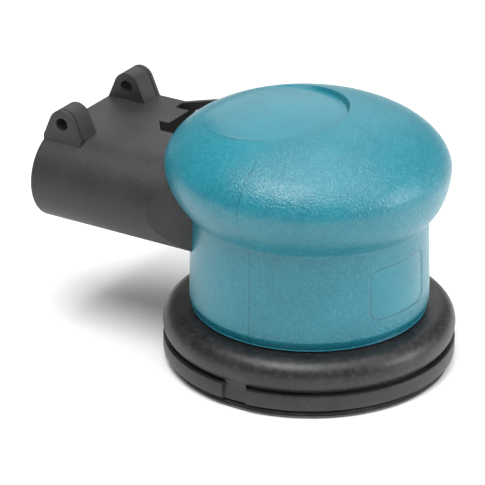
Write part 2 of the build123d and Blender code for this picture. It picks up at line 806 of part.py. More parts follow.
    # Speed regulator's bore, up from below
    with BuildSketch(Plane.XY.offset(tube_bottom - 1)):
        with Locations((regulator_x, inlet_y)):
            Circle(regulator_radius)
    extrude(amount=1 + regulator_height, mode=Mode.SUBTRACT)
    with BuildSketch(Plane.XY.offset(regulator_clip_base)):
        with Locations((regulator_x, inlet_y)):
            Circle(regulator_radius + ring_depth)
    extrude(amount=ring_groove, mode=Mode.SUBTRACT)
housing.part.label = "housing"
export_step(housing.part, "parts/housing.step")


# ---------------------------------------------------------------- grip

roll_z = shroud_seat_height + shroud_seat_rise - shroud_roll_radius
grip_foot = shroud_seat_height + 2 * shroud_seat_rise
bulge_z = housing_top - bulge_drop
crown_z = housing_top + crown_rise

# A round dish in the crown for the lever's end: deep at the front, fading out towards the tube
with BuildPart() as landing_cut:
    with BuildSketch(Plane.XY.offset(bulge_z)):
        with Locations((landing_centre, 0)):
            Circle(landing_radius)
    extrude(amount=crown_z)
    with Locations((-landing_shift, 0, crown_z - landing_drop - landing_curve)):
        Sphere(landing_curve, mode=Mode.SUBTRACT)

with BuildPart() as grip:
    with BuildSketch(Plane.XZ):
        with BuildLine():
            Line((0, grip_foot), (grip_radius, grip_foot))
            Line((grip_radius, grip_foot), (grip_radius - neck_slim, bulge_z - neck_drop))
            ThreePointArc(
                (grip_radius - neck_slim, bulge_z - neck_drop),
                (grip_radius + neck_middle[0], bulge_z - neck_middle[1]),
                (grip_radius + neck_end[0], bulge_z - neck_end[1]),
            )
            ThreePointArc(
                (grip_radius + neck_end[0], bulge_z - neck_end[1]),
                (grip_radius + bulge_middle[0], bulge_z - bulge_middle[1]),
                (grip_radius + bulge, bulge_z),
            )
            EllipticalCenterArc((0, bulge_z), grip_radius + bulge, crown_z - bulge_z, 0, arc_size=90)
            Line((0, crown_z), (0, grip_foot))
        make_face()
    revolve(axis=Axis.Z)
    with BuildSketch(Plane.XZ):
        with BuildLine():
            Polyline(
                (0, grip_foot),
                (cover_radius, grip_foot),
                (cover_radius, housing_top - roof_taper_height + cover_gap),
                (cover_radius - roof_taper, housing_top + cover_gap),
                (0, housing_top + cover_gap),
                close=True,
            )
        make_face()
    revolve(axis=Axis.Z, mode=Mode.SUBTRACT)
    add(tube_solid(cover_gap), mode=Mode.SUBTRACT)
    add(landing_cut.part, mode=Mode.SUBTRACT)
grip.part.label = "grip"
export_step(grip.part, "parts/grip.step")


# ---------------------------------------------------------------- shroud

roll_centre = shroud_radius - shroud_roll_radius
slit_base = skirt_lift + skirt_height
slit_top = slit_base + slit_height
roll_foot = roll_centre + sqrt(shroud_roll_radius**2 - (roll_z - slit_top) ** 2)
roll_middle = radians(20)
skirt_inside = shroud_radius - skirt_wall

with BuildPart() as shroud:
    with BuildSketch(Plane.XZ):
        with BuildLine():
            Polyline(
                (roll_centre, roll_z + shroud_roll_radius),
                (cover_radius, shroud_seat_height + shroud_seat_rise),
                (cover_radius, housing_foot - shroud_tuck),
                (skirt_inside, slit_base - skirt_ledge),
                (skirt_inside, skirt_lift),
                (roll_foot, skirt_lift),
                (roll_foot, slit_top),
            )
            ThreePointArc(
                (roll_foot, slit_top),
                (
                    roll_centre + shroud_roll_radius * cos(roll_middle),
                    roll_z + shroud_roll_radius * sin(roll_middle),
                ),
                (roll_centre, roll_z + shroud_roll_radius),
            )
        make_face()
    revolve(axis=Axis.Z)
    # The skirt's bands, each with a slit above it, and a bare bridge between their ends
    for band_start, band_sweep in band_arcs:
        start = radians(band_start)
        band_section = Plane(
            (0, 0, 0), x_dir=(cos(start), sin(start), 0), z_dir=(sin(start), -cos(start), 0)
        )
        with BuildSketch(band_section):
            with BuildLine():
                Polyline(
                    (skirt_inside, skirt_lift),
                    (shroud_radius, skirt_lift),
                    (shroud_radius, slit_base),
                    (skirt_inside, slit_base),
                    close=True,
                )
            make_face()
        revolve(axis=Axis.Z, revolution_arc=band_sweep)
        with BuildSketch(band_section):
            with BuildLine():
                Polyline(
                    (shroud_radius - slit_depth, slit_base),
                    (shroud_radius + 1, slit_base),
                    (shroud_radius + 1, slit_top),
                    (shroud_radius - slit_depth, slit_top),
                    close=True,
                )
            make_face()
        revolve(axis=Axis.Z, revolution_arc=band_sweep, mode=Mode.SUBTRACT)
shroud.part.label = "shroud"
export_step(shroud.part, "parts/shroud.step")


# ---------------------------------------------------------------- air inlet and exhaust

thread_end = end_floor + inlet_thread_length
relief_end = thread_end + thread_relief_width
screen_base = relief_end + slip_gap
screen_seat = screen_base + screen_thickness + slip_gap

with BuildPart() as inlet_bushing:
    with BuildSketch(Plane.YZ.offset(end_floor - inlet_rim)):
        with Locations((inlet_y, tube_z)):
            Circle(inlet_bore_radius - slip_gap)
    extrude(amount=inlet_rim + inlet_length)
    chamfer(inlet_bushing.edges().group_by(Axis.X)[0], edge_break)
    with BuildSketch(Plane.YZ.offset(end_floor - inlet_rim)):
        with Locations((inlet_y, tube_z)):
            Circle(inlet_thread_radius)
    extrude(amount=thread_end - end_floor + inlet_rim, mode=Mode.SUBTRACT)
    with BuildSketch(Plane.YZ.offset(thread_end)):
        with Locations((inlet_y, tube_z)):
            Circle(inlet_thread_radius + thread_relief_depth)
    extrude(amount=thread_relief_width, mode=Mode.SUBTRACT)
    with BuildSketch(Plane.YZ.offset(relief_end)):
        with Locations((inlet_y, tube_z)):
            Circle(screen_radius + slip_gap)
    extrude(amount=screen_seat - relief_end, mode=Mode.SUBTRACT)
    with BuildSketch(Plane.YZ.offset(relief_end)):
        with Locations((inlet_y, tube_z)):
            Circle(screen_radius - screen_step)
    extrude(amount=inlet_length, mode=Mode.SUBTRACT)
inlet_bushing.part.label = "inlet_bushing"
export_step(inlet_bushing.part, "parts/inlet_bushing.step")

with BuildPart() as inlet_screen:
    with BuildSketch(Plane.YZ.offset(screen_base)):
        with Locations((inlet_y, tube_z)):
            Circle(screen_radius)
            with GridLocations(screen_pitch, screen_pitch, screen_holes, screen_holes):
                Circle(screen_hole_radius, mode=Mode.SUBTRACT)
    extrude(amount=screen_thickness)
inlet_screen.part.label = "inlet_screen"
export_step(inlet_screen.part, "parts/inlet_screen.step")

with BuildPart() as exhaust_grille:
    with BuildSketch(Plane.YZ.offset(end_floor - grille_rim)):
        with Locations((exhaust_y, tube_z)):
            Circle(exhaust_bore_radius - slip_gap)
            with GridLocations(0, grille_pitch, 1, grille_slots):
                SlotOverall(*grille_slot_size, mode=Mode.SUBTRACT)
    extrude(amount=grille_thickness)
exhaust_grille.part.label = "exhaust_grille"
export_step(exhaust_grille.part, "parts/exhaust_grille.step")

with BuildPart() as exhaust_muffler:
    with BuildSketch(Plane.YZ.offset(exhaust_floor - muffler_length)):
        with Locations((exhaust_y, tube_z)):
            Circle(exhaust_bore_radius - slip_gap)
            Circle(muffler_bore, mode=Mode.SUBTRACT)
    extrude(amount=muffler_length)
exhaust_muffler.part.label = "exhaust_muffler"
export_step(exhaust_muffler.part, "parts/exhaust_muffler.step")


# ---------------------------------------------------------------- throttle valve

valve_plane = Plane((valve_x, inlet_y, 0))
disc_top = seat_base - slip_gap
disc_base = disc_top - valve_disc_thickness
guide_base = pocket_floor - guide_height
seal_z = guide_base + guide_height / 2

with BuildPart() as valve_stem:
    with BuildSketch(valve_plane.offset(disc_top)):
        Circle(stem_radius)
    extrude(amount=tube_top + stem_rise - disc_top)
    fillet(valve_stem.edges().group_by(Axis.Z)[-1], stem_radius / 2)
    with BuildSketch(valve_plane.offset(disc_base)):
        Circle(stem_neck_radius)
    extrude(amount=valve_disc_thickness)
valve_stem.part.label = "valve_stem"
export_step(valve_stem.part, "parts/valve_stem.step")

with BuildPart() as valve_disc:
    with BuildSketch(valve_plane.offset(disc_base)):
        Circle(valve_bore_radius - valve_ledge - running_gap)
        Circle(stem_neck_radius + seat_gap, mode=Mode.SUBTRACT)
    extrude(amount=valve_disc_thickness)
valve_disc.part.label = "valve_disc"
export_step(valve_disc.part, "parts/valve_disc.step")

with BuildPart() as valve_seat:
    with BuildSketch(valve_plane.offset(seat_base)):
        Circle(valve_bore_radius - slip_gap)
        Circle(valve_seat_bore, mode=Mode.SUBTRACT)
    extrude(amount=valve_seat_height)
valve_seat.part.label = "valve_seat"
export_step(valve_seat.part, "parts/valve_seat.step")

with BuildPart() as valve_guide:
    with BuildSketch(valve_plane.offset(guide_base)):
        Circle(valve_bore_radius - slip_gap)
        Circle(stem_radius + slip_gap, mode=Mode.SUBTRACT)
    extrude(amount=guide_height)
    with BuildSketch(valve_plane.offset(seal_z - seal_radius)):
        Circle(stem_radius + slip_gap + 2 * seal_radius)
    extrude(amount=2 * seal_radius, mode=Mode.SUBTRACT)
valve_guide.part.label = "valve_guide"
export_step(valve_guide.part, "parts/valve_guide.step")

with BuildPart() as stem_seal:
    with BuildSketch(Plane((valve_x, inlet_y, 0), x_dir=(1, 0, 0), z_dir=(0, -1, 0))):
        with Locations((stem_radius + slip_gap + seal_radius, seal_z)):
            Circle(seal_radius - seat_gap)
    revolve(axis=Axis((valve_x, inlet_y, 0), (0, 0, 1)))
stem_seal.part.label = "stem_seal"
export_step(stem_seal.part, "parts/stem_seal.step")

spring_height = disc_base - valve_floor - 2 * spring_wire_radius - 2 * slip_gap

with BuildPart() as valve_spring:
    with BuildLine():
        coil = Helix(
            pitch=spring_height / spring_turns,
            height=spring_height,
            radius=spring_radius,
            center=(valve_x, inlet_y, valve_floor + spring_wire_radius + slip_gap),
        )
    with BuildSketch(Plane(coil @ 0, z_dir=coil % 0)):
        Circle(spring_wire_radius)
    sweep(is_frenet=True)
valve_spring.part.label = "valve_spring"
export_step(valve_spring.part, "parts/valve_spring.step")


# ---------------------------------------------------------------- speed regulator

regulator_plane = Plane((regulator_x, inlet_y, 0))
regulator_base = regulator_clip_base + ring_groove + slip_gap
regulator_seal_z = channel_z - air_channel_radius - regulator_seal_drop
regulator_bore_top = tube_bottom + regulator_height

with BuildPart() as speed_regulator:
    with BuildSketch(regulator_plane.offset(regulator_base)):
        Circle(regulator_radius - slip_gap)
    extrude(amount=regulator_bore_top - slip_gap - regulator_base)
    with BuildSketch(regulator_plane.offset(regulator_base)):
        Rectangle(2 * regulator_radius, regulator_slot)
    extrude(amount=regulator_slot, mode=Mode.SUBTRACT)
    with BuildSketch(regulator_plane.offset(regulator_seal_z - seal_radius)):
        Circle(regulator_radius + 1)
        Circle(regulator_radius - 2 * seal_radius, mode=Mode.SUBTRACT)
    extrude(amount=2 * seal_radius, mode=Mode.SUBTRACT)
    with BuildSketch(Plane.YZ.offset(regulator_x - regulator_radius)):
        with Locations((inlet_y, channel_z)):
            Circle(air_channel_radius - regulator_port_wall)
    extrude(amount=2 * regulator_radius, mode=Mode.SUBTRACT)
speed_regulator.part.label = "speed_regulator"
export_step(speed_regulator.part, "parts/speed_regulator.step")

with BuildPart() as regulator_seal:
    with BuildSketch(Plane((regulator_x, inlet_y, 0), x_dir=(1, 0, 0), z_dir=(0, -1, 0))):
        with Locations((regulator_radius - seal_radius, regulator_seal_z)):
            Circle(seal_radius - slip_gap)
    revolve(axis=Axis((regulator_x, inlet_y, 0), (0, 0, 1)))
regulator_seal.part.label = "regulator_seal"
export_step(regulator_seal.part, "parts/regulator_seal.step")

with BuildPart() as regulator_ring:
    with BuildSketch(regulator_plane.offset(regulator_clip_base + slip_gap)):
        Circle(regulator_radius + ring_depth - seat_gap)
        Circle(regulator_ring_bore, mode=Mode.SUBTRACT)
        with Locations((regulator_radius, 0)):
            Rectangle(4 * ring_depth, ring_opening, mode=Mode.SUBTRACT)
    extrude(amount=ring_thickness)
regulator_ring.part.label = "regulator_ring"
export_step(regulator_ring.part, "parts/regulator_ring.step")
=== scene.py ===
# %% [markdown]
# # A palm sander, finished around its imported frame
#
# The construction is already there: every piece that turns, seals or fastens comes in as a fixed
# frame at its real size. This lesson adds what the eye meets first, which is the moulded skins and
# their finishes. The soft mouldings and the threaded inlet are rebuilt as smooth surfaces worked out
# from the frame's own sizes. Every other piece keeps its frame shape and gets a finish of its own.

# %% Load the frame
from math import cos, pi, radians, sin, tan

import bpy
import numpy as np
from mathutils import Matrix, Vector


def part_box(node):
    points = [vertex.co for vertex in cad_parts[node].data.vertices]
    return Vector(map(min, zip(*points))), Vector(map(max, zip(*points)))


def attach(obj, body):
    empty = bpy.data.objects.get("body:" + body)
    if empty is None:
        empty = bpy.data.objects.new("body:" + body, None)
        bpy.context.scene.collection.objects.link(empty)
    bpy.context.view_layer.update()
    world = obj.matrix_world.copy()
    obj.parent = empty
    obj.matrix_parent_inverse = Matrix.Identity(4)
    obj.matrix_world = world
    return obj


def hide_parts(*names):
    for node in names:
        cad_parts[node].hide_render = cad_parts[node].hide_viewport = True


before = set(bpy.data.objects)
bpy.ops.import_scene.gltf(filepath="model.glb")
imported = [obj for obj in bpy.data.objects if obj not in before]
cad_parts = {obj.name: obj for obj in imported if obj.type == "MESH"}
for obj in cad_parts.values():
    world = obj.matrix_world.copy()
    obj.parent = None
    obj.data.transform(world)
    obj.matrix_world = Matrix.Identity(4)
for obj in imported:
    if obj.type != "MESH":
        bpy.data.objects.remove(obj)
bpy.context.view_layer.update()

# %% [markdown]
# ## The camera comes first
#
# Shapes are only worth judging through the camera that will show them. A short lens close by would
# make the rear tube look larger than it is. A long lens keeps the tube and the pad in nearly parallel
# view, as a catalogue picture does.

# %% Camera
MM = 0.001
CAMERA_TURN = radians(31.43)
CAMERA_RISE = radians(24.94)
CAMERA_DISTANCE = 1.033
CAMERA_LENS = 239.5
AIM = np.array([-0.0249, 0.0, 0.03264])

away = np.array([
    sin(CAMERA_TURN) * cos(CAMERA_RISE),
    -cos(CAMERA_TURN) * cos(CAMERA_RISE),
    sin(CAMERA_RISE),
])
camera_data = bpy.data.cameras.new("view")
camera_data.lens = CAMERA_LENS
camera_data.sensor_width = 36.0
camera = bpy.data.objects.new("view", camera_data)
camera.location = AIM + CAMERA_DISTANCE * away
camera.rotation_euler = (pi / 2 - CAMERA_RISE, 0.0, CAMERA_TURN)
bpy.context.scene.collection.objects.link(camera)
bpy.context.scene.camera = camera
bpy.context.scene.view_settings.view_transform = "Standard"
print("camera stands at", np.round(camera.location, 3))

# %% [markdown]
# ## Soft light
#
# The light could be a single hard lamp, but black plastic then shows only its highlights. Soft panels
# and an evenly lit room give every surface something pale to mirror, so the grain stays readable in the
# dark parts too.


# %% Lights and room
def panel(name, turn, rise, distance, size, power):
    """A square soft panel, aimed at the middle of the object from a turn and a rise in degrees."""
    turn, rise = radians(turn), radians(rise)
    towards = np.array([sin(turn) * cos(rise), -cos(turn) * cos(rise), sin(rise)])
    light = bpy.data.lights.new(name, "AREA")
    light.size = size
    light.energy = power
    lamp = bpy.data.objects.new(name, light)
    lamp.location = AIM + distance * towards
    lamp.rotation_euler = (pi / 2 - rise, 0.0, turn)
    bpy.context.scene.collection.objects.link(lamp)


panel("right_panel", turn=108, rise=20, distance=0.8, size=0.35, power=3.2)
panel("back_panel", turn=208, rise=30, distance=1.0, size=0.7, power=1.2)
panel("front_panel", turn=0, rise=66, distance=0.8, size=0.4, power=4.0)
panel("top_panel", turn=70, rise=80, distance=0.8, size=1.0, power=7.5)

ROOM_LIGHT = 0.28
world = bpy.data.worlds.new("room")
world.use_nodes = True
world.node_tree.nodes["Background"].inputs["Color"].default_value = (1.0, 1.0, 1.0, 1.0)
world.node_tree.nodes["Background"].inputs["Strength"].default_value = ROOM_LIGHT
bpy.context.scene.world = world

# %% [markdown]
# ## Writing finishes as sums
#
# A finish is a small program: where is this point, how rough is it there, how deep is the grain. Nodes
# can be wired one by one, but the sums then disappear behind the wiring. `Tap` wraps one output of a
# node and lets Python's own operators add the Math nodes, so a mask reads as it would on paper.

# %% A value that adds its own Math nodes
class Tap:
    """One output of a node. Sums on it add Math nodes, and numbers may stand on either side."""

    def __init__(self, finish, socket):
        self.finish = finish
        self.socket = socket

    def math(self, operation, *others):
        """One Math node, with this value first and the others after it."""
        values = dict(enumerate((self, *others)))
        return self.finish.add("ShaderNodeMath", {"operation": operation}, values)

    def __add__(self, other):
        return self.math("ADD", other)

    __radd__ = __add__

    def __sub__(self, other):
        return self.math("SUBTRACT", other)

    def __rsub__(self, other):
        return (self * -1.0) + other

    def __mul__(self, other):
        return self.math("MULTIPLY", other)

    __rmul__ = __mul__

    def __truediv__(self, other):
        return self.math("DIVIDE", other)

    def __abs__(self):
        return self.math("ABSOLUTE")

    def above(self, low, high):
        """0 below low, 1 above high and a smooth ramp between; low may be the larger."""
        share = (self - low) / (high - low)
        return self.finish.add("ShaderNodeMapRange", {"interpolation_type": "SMOOTHSTEP"}, {0: share})


# %% [markdown]
# ## One class for every finish
#
# Each material starts from the same shader and the same question of place. Copying one material and
# changing it by hand would work for two or three, but there are fifteen on this tool. `Finish` starts
# one, keeps the piece's coordinates at hand in millimetres, and adds any node by its type.


# %% A finish under construction
def as_colour(value):
    """Three numbers get a full alpha, and a Tap stays as it is."""
    return value if isinstance(value, Tap) else (*value, 1.0)


class Finish:
    """One material. Its places are the piece's own coordinates in millimetres."""

    made = {}

    def __init__(self, name, **constants):
        self.material = bpy.data.materials.new(name)
        self.material.use_nodes = True
        self.tree = self.material.node_tree
        self.shader = self.tree.nodes["Principled BSDF"]
        for socket, value in constants.items():
            socket = socket.replace("_", " ").title().replace("Ior", "IOR")
            self.shader.inputs[socket].default_value = value
        metres = self.add("ShaderNodeTexCoord", output="Object")
        self.place = self.add(
            "ShaderNodeVectorMath", {"operation": "SCALE"}, {0: metres, "Scale": 1.0 / MM}
        )
        self.x, self.y, self.z = (
            self.add("ShaderNodeSeparateXYZ", {}, {0: self.place}, axis) for axis in "XYZ"
        )
        Finish.made[name] = self.material

    def add(self, kind, settings=None, sockets=None, output=0):
        """Any node: its type, its settings, then the values or links of its sockets."""
        node = self.tree.nodes.new(kind)
        for key, value in (settings or {}).items():
            setattr(node, key, value)
        for key, value in (sockets or {}).items():
            if isinstance(value, Tap):
                self.tree.links.new(value.socket, node.inputs[key])
            else:
                node.inputs[key].default_value = value
        return Tap(self, node.outputs[output])

    def stretched(self, along):
        """The place, divided by a size along each axis, so that a pattern grows that much there."""
        share = tuple(1.0 / size for size in along)
        return self.add("ShaderNodeVectorMath", {"operation": "MULTIPLY"}, {0: self.place, 1: share})

    def noise(self, size, detail=2.0, along=(1.0, 1.0, 1.0), offset=0.0):
        """Cloudy values round 0.5 with spots of about this size in millimetres."""
        sockets = {"Vector": self.stretched(along), "W": offset, "Scale": 1.0 / size, "Detail": detail}
        return self.add("ShaderNodeTexNoise", {"noise_dimensions": "4D"}, sockets)

    def cells(self, size, along=(1.0, 1.0, 1.0), feature="DISTANCE_TO_EDGE"):
        """Pebble cells of this size in millimetres: distance to a cell's edge, or with F1 to its middle."""
        sockets = {"Vector": self.stretched(along), "Scale": 1.0 / size, "Randomness": 0.9}
        return self.add("ShaderNodeTexVoronoi", {"feature": feature}, sockets)

    def mix(self, factor, first, second):
        """A colour that goes from first to second as the factor goes from 0 to 1."""
        sockets = {0: factor, 6: as_colour(first), 7: as_colour(second)}
        return self.add("ShaderNodeMix", {"data_type": "RGBA"}, sockets, 2)

    def feed(self, socket, value):
        """Let a value drive one socket of the shader."""
        self.tree.links.new(value.socket, self.shader.inputs[socket])

    def relief(self, height, round_edges=0.0):
        """Bump from a height in millimetres, over edges that are rounded by a radius in millimetres."""
        sockets = {"Height": height, "Distance": MM, "Strength": 1.0}
        if round_edges:
            sockets["Normal"] = self.add("ShaderNodeBevel", {"samples": 6}, {"Radius": round_edges * MM})
        self.feed("Normal", self.add("ShaderNodeBump", {}, sockets))


def dress(piece, finish):
    """Put a finish on a piece, in place of whatever it came with."""
    piece.data.materials.clear()
    piece.data.materials.append(finish.material)


print("helpers ready")

# %% [markdown]
# ## Surfaces from grids
#
# A turned moulding is a profile carried round an axis, and the grip is a stack of rings that slide
# off the axis on the way up. Both are one grid of points: rings one way, angle the other. Subdivision
# of a rough cage would also do, but a grid puts every edge exactly where the formula says.

# %% Grid to mesh
def put_mesh(name, points, faces):
    """Make an object from an array of points in millimetres and lists of faces."""
    mesh = bpy.data.meshes.new(name)
    mesh.from_pydata((points * MM).tolist(), [], faces)
    mesh.validate()
    mesh.update()
    piece = bpy.data.objects.new(name, mesh)
    bpy.context.scene.collection.objects.link(piece)
    return piece


def ring_surface(name, rings, start_pole=None, end_pole=None, closed=False):
    """Join rings of points into one closed skin.

    rings has the shape (rings, columns, 3), each ring counted the same way round. Each face takes
    four neighbours: this ring and the next, this column and the next, with the last column next to
    the first. A pole closes an end with a fan of triangles, and closed joins the last ring back to
    the first.
    """
    count, columns = rings.shape[:2]
    index = np.arange(count * columns).reshape(count, columns)
    following = np.roll(index, -1, axis=1)
    last = count if closed else count - 1
    below = np.roll(index, -1, axis=0)[:last]
    below_following = np.roll(following, -1, axis=0)[:last]
    quads = np.stack([index[:last], below, below_following, following[:last]], axis=-1)
    faces = quads.reshape(-1, 4).tolist()
    points = rings.reshape(-1, 3)
    for pole, row, flip in ((start_pole, 0, False), (end_pole, count - 1, True)):
        if pole is not None:
            points = np.vstack([points, pole])
            tip = np.full(columns, len(points) - 1)
            order = [following[row], index[row]] if flip else [index[row], following[row]]
            faces += np.stack([tip, *order], axis=-1).tolist()
    return put_mesh(name, points, faces)


def directions(angles):
    """Unit steps for an array of angles: the cosine and the sine of each."""
    return np.stack([np.cos(angles), np.sin(angles)], axis=-1)


def ramp(value, low, high):
    """0 at low, 1 at high and a smooth S between, on whole arrays."""
    share = np.clip((value - low) / (high - low), 0.0, 1.0)
    return share * share * (3.0 - 2.0 * share)


print("grid helpers ready")

# %% [markdown]
# ## Which way a face looks, and which edges are sharp
#
# A moulding is smooth except where the mould had a corner. Marking those edges by hand would take
# long and be lost with the next change of size, so the angle between two faces decides. The volume
# under the faces tells whether they look outwards, because it comes out negative when they don't.


# %% Shading and facing
def smooth(piece, sharp_angle=40.0):
    """Shade a piece smoothly, except over edges that turn by more than an angle in degrees."""
    piece.data.shade_smooth()
    mesh = piece.data
    edges = np.empty(len(mesh.loops), dtype=np.int64)
    mesh.loops.foreach_get("edge_index", edges)
    normals = np.empty(len(mesh.polygons) * 3)
    mesh.polygons.foreach_get("normal", normals)
    normals = normals.reshape(-1, 3)
    sizes = np.empty(len(mesh.polygons), dtype=np.int64)
    mesh.polygons.foreach_get("loop_total", sizes)
    owner = np.repeat(np.arange(len(sizes)), sizes)
    order = np.argsort(edges, kind="stable")
    first, count = np.unique(edges[order], return_index=True)[1], np.bincount(edges)
    pairs = first[count[edges[order[first]]] == 2]
    turn = (normals[owner[order[pairs]]] * normals[owner[order[pairs + 1]]]).sum(axis=1)
    sharp = np.zeros(len(mesh.edges), dtype=bool)
    sharp[edges[order[pairs]]] = turn < cos(radians(sharp_angle))
    attribute = mesh.attributes.get("sharp_edge") or mesh.attributes.new("sharp_edge", "BOOLEAN", "EDGE")
    attribute.data.foreach_set("value", sharp)
    mesh.update()
    return int(sharp.sum())


def face_outwards(piece):
    """Turn a closed mesh the right way if the volume under its faces comes out negative."""
    mesh = piece.data
    mesh.calc_loop_triangles()
    corners = np.empty(len(mesh.vertices) * 3)
    mesh.vertices.foreach_get("co", corners)
    corners = corners.reshape(-1, 3)
    triangles = np.empty(len(mesh.loop_triangles) * 3, dtype=np.int64)
    mesh.loop_triangles.foreach_get("vertices", triangles)
    a, b, c = (corners[triangles.reshape(-1, 3)[:, k]] for k in range(3))
    volume = (a * np.cross(b, c)).sum() / 6
    if volume < 0:
        mesh.flip_normals()
    return abs(volume) / MM**3


def close_up(piece, sharp_angle):
    """Face a closed piece outwards, shade it, and print its volume and how many edges are sharp."""
    volume = face_outwards(piece) / 1000
    print(f"{piece.name}: {volume:.2f} cm3, {smooth(piece, sharp_angle)} sharp edges")


print("surface helpers ready")

# %% [markdown]
# ## The grip
#
# The grip is a thick rubber skin moulded over the hard housing: a waist for the fingers, a bulge for
# the palm, and a shallow round landing in the crown where a throttle lever would come to rest. It
# could be a lathe shape with the landing cut out of it, but a cut through a fine mesh leaves a ragged
# lip. Here the rings themselves start as circles round the landing and slide over to circles round
# the motor, so the landing's lip is one of the rings and stays crisp.

# %% Sizes of the grip, from its frame solid
grip_low, grip_high = (np.array(corner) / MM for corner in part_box("grip"))
BULGE_RADIUS = (grip_high[1] - grip_low[1]) / 2
GRIP_FOOT = grip_low[2]
CROWN_LIFT = 0.45        # from the frame solid's top up to the dome's peak, which the landing cuts off
CROWN_DEPTH = 20.0       # from the crown down to the bulge's widest height
BARREL_INSET = 7.0       # from the bulge in to the barrel below it
NECK_INSET = 0.6         # and from the barrel in to the neck under the fold
FOOT_ROUNDING = 3.0      # height of the moulded edge at the foot
CROWN_TOP = grip_high[2] + CROWN_LIFT
BULGE_HEIGHT = CROWN_TOP - CROWN_DEPTH
BARREL_RADIUS = BULGE_RADIUS - BARREL_INSET
BARREL_FOOT = GRIP_FOOT + FOOT_ROUNDING
NECK_RADIUS = BARREL_RADIUS - NECK_INSET
FOLD_DEPTH = 1.5
FOLD_DROP = 15.8         # from the bulge's widest height down to the fold, on average
FOLD_TILT = 1.6          # the fold rises and falls this much round the grip
FOLD_TURN = radians(100.0)
REAR_FULLNESS = 0.9      # the bulge reaches this much further towards the tube
FRONT_SLIMNESS = 1.0     # and this much less on the side away from it
CROWN_LEAN = 2.2         # the crown leans this much towards the tube
WALL = 3.1
LANDING_CENTRE = np.array([-8.6, -3.0])
LANDING_RADIUS = 23.0
LANDING_WALL = 1.3       # plan width of the wall round the landing
LANDING_TOP = CROWN_TOP - 2.2
LANDING_CURVE = 165.0    # radius of the floor's very flat dome
LANDING_PEAK = -4.0      # where along the tube's line that dome is highest
COLUMNS = 400
angle = np.linspace(0.0, 2 * pi, COLUMNS, endpoint=False)
compass = directions(angle)
fold_height = BULGE_HEIGHT - FOLD_DROP - FOLD_TILT * np.cos(angle - FOLD_TURN)
print(f"bulge radius {BULGE_RADIUS:.1f}, crown {CROWN_TOP:.1f}, foot {GRIP_FOOT:.1f} mm")


# %% [markdown]
# ## Heights over the crown
#
# The crown is a flat dome, a little fuller towards the tube. It could be drawn as one curve and spun,
# but then the landing could not lie off its middle. So the crown and the landing's floor are each a
# height over a plan point, and a rounded choice of the lower one joins them.


# %% The crown's height and the landing's floor
def bulge_reach():
    """Bulge radius at each angle: more on the tube's side and less away from it, by cosine squared."""
    towards = np.cos(angle)
    change = np.where(towards < 0.0, REAR_FULLNESS, -FRONT_SLIMNESS)
    return BULGE_RADIUS + change * towards**2


def crown_height(plan):
    """Height over each plan point: half an ellipse over the distance from the motor axis."""
    share = np.hypot(plan[..., 0], plan[..., 1]) / bulge_reach()
    return BULGE_HEIGHT + (CROWN_TOP - BULGE_HEIGHT) * np.sqrt(np.clip(1.0 - share**2, 0.0, 1.0))


def floor_height(plan):
    """The landing's floor: a very flat dome that falls by the distance squared over two radii."""
    offset = np.hypot(plan[..., 0] - LANDING_PEAK, plan[..., 1])
    return LANDING_TOP - offset**2 / (2 * LANDING_CURVE)


def lower_of(first, second, blend=0.35):
    """The smaller of two heights, with the crossing rounded over a blend in millimetres."""
    gap = first - second
    return (first + second - np.sqrt(gap**2 + blend**2)) / 2


def lean(points):
    """Shift points towards the tube in step with their height above the bulge."""
    rise = (points[..., 2] - BULGE_HEIGHT) / (CROWN_TOP - BULGE_HEIGHT)
    points[..., 0] -= CROWN_LEAN * np.clip(rise, 0.0, 1.0)
    return points


print(f"crown over the motor axis: {float(crown_height(np.zeros(2))[0]):.1f} mm")

# %% [markdown]
# ## From the landing out to the bulge
#
# Rings near the landing are circles about its own middle, and the last one is nearly a circle about
# the motor. In between, each point slides along a straight line from the one to the other. Even steps
# would bunch where the dome is flat, so the steps follow a sine and close up where it turns down.

# %% Rings of the landing and the crown
wall_start = LANDING_RADIUS - LANDING_WALL
floor_radii = np.linspace(1.0, wall_start, 22)
wall_radii = wall_start + LANDING_WALL * np.linspace(0.1, 1.0, 10)
inner_radii = np.concatenate([floor_radii, wall_radii])
inner_plan = LANDING_CENTRE + inner_radii[:, None, None] * compass
floor = lower_of(crown_height(inner_plan), floor_height(inner_plan))
climb = ramp(inner_radii, wall_start, LANDING_RADIUS)[:, None]
landing_rings = np.dstack([inner_plan, floor + (crown_height(inner_plan) - floor) * climb])

rim_plan = LANDING_CENTRE + LANDING_RADIUS * compass
waist_plan = bulge_reach()[:, None] * compass
slide = np.sin(np.linspace(0.0, pi / 2, 72)[1:])[:, None, None]
outer_plan = rim_plan + (waist_plan - rim_plan) * slide
crown_rings = np.dstack([outer_plan, crown_height(outer_plan)])
top_rings = lean(np.concatenate([landing_rings, crown_rings]))
print("rings over the crown:", len(top_rings))

# %% [markdown]
# ## Under the bulge
#
# Below its widest height the rubber tucks under to a fold, and a straight barrel runs down to the
# foot. A sharp crease would tear out of a mould and a wide curve would leave the fingers nothing to
# hook under, so the larger of two radii is taken with the crossing rounded over.


# %% Radius of the bulge's underside and the barrel
def higher_of(first, second, blend=1.2):
    """The larger of two radii, with the crossing rounded over a blend in millimetres."""
    gap = first - second
    return (first + second + np.sqrt(gap**2 + blend**2)) / 2


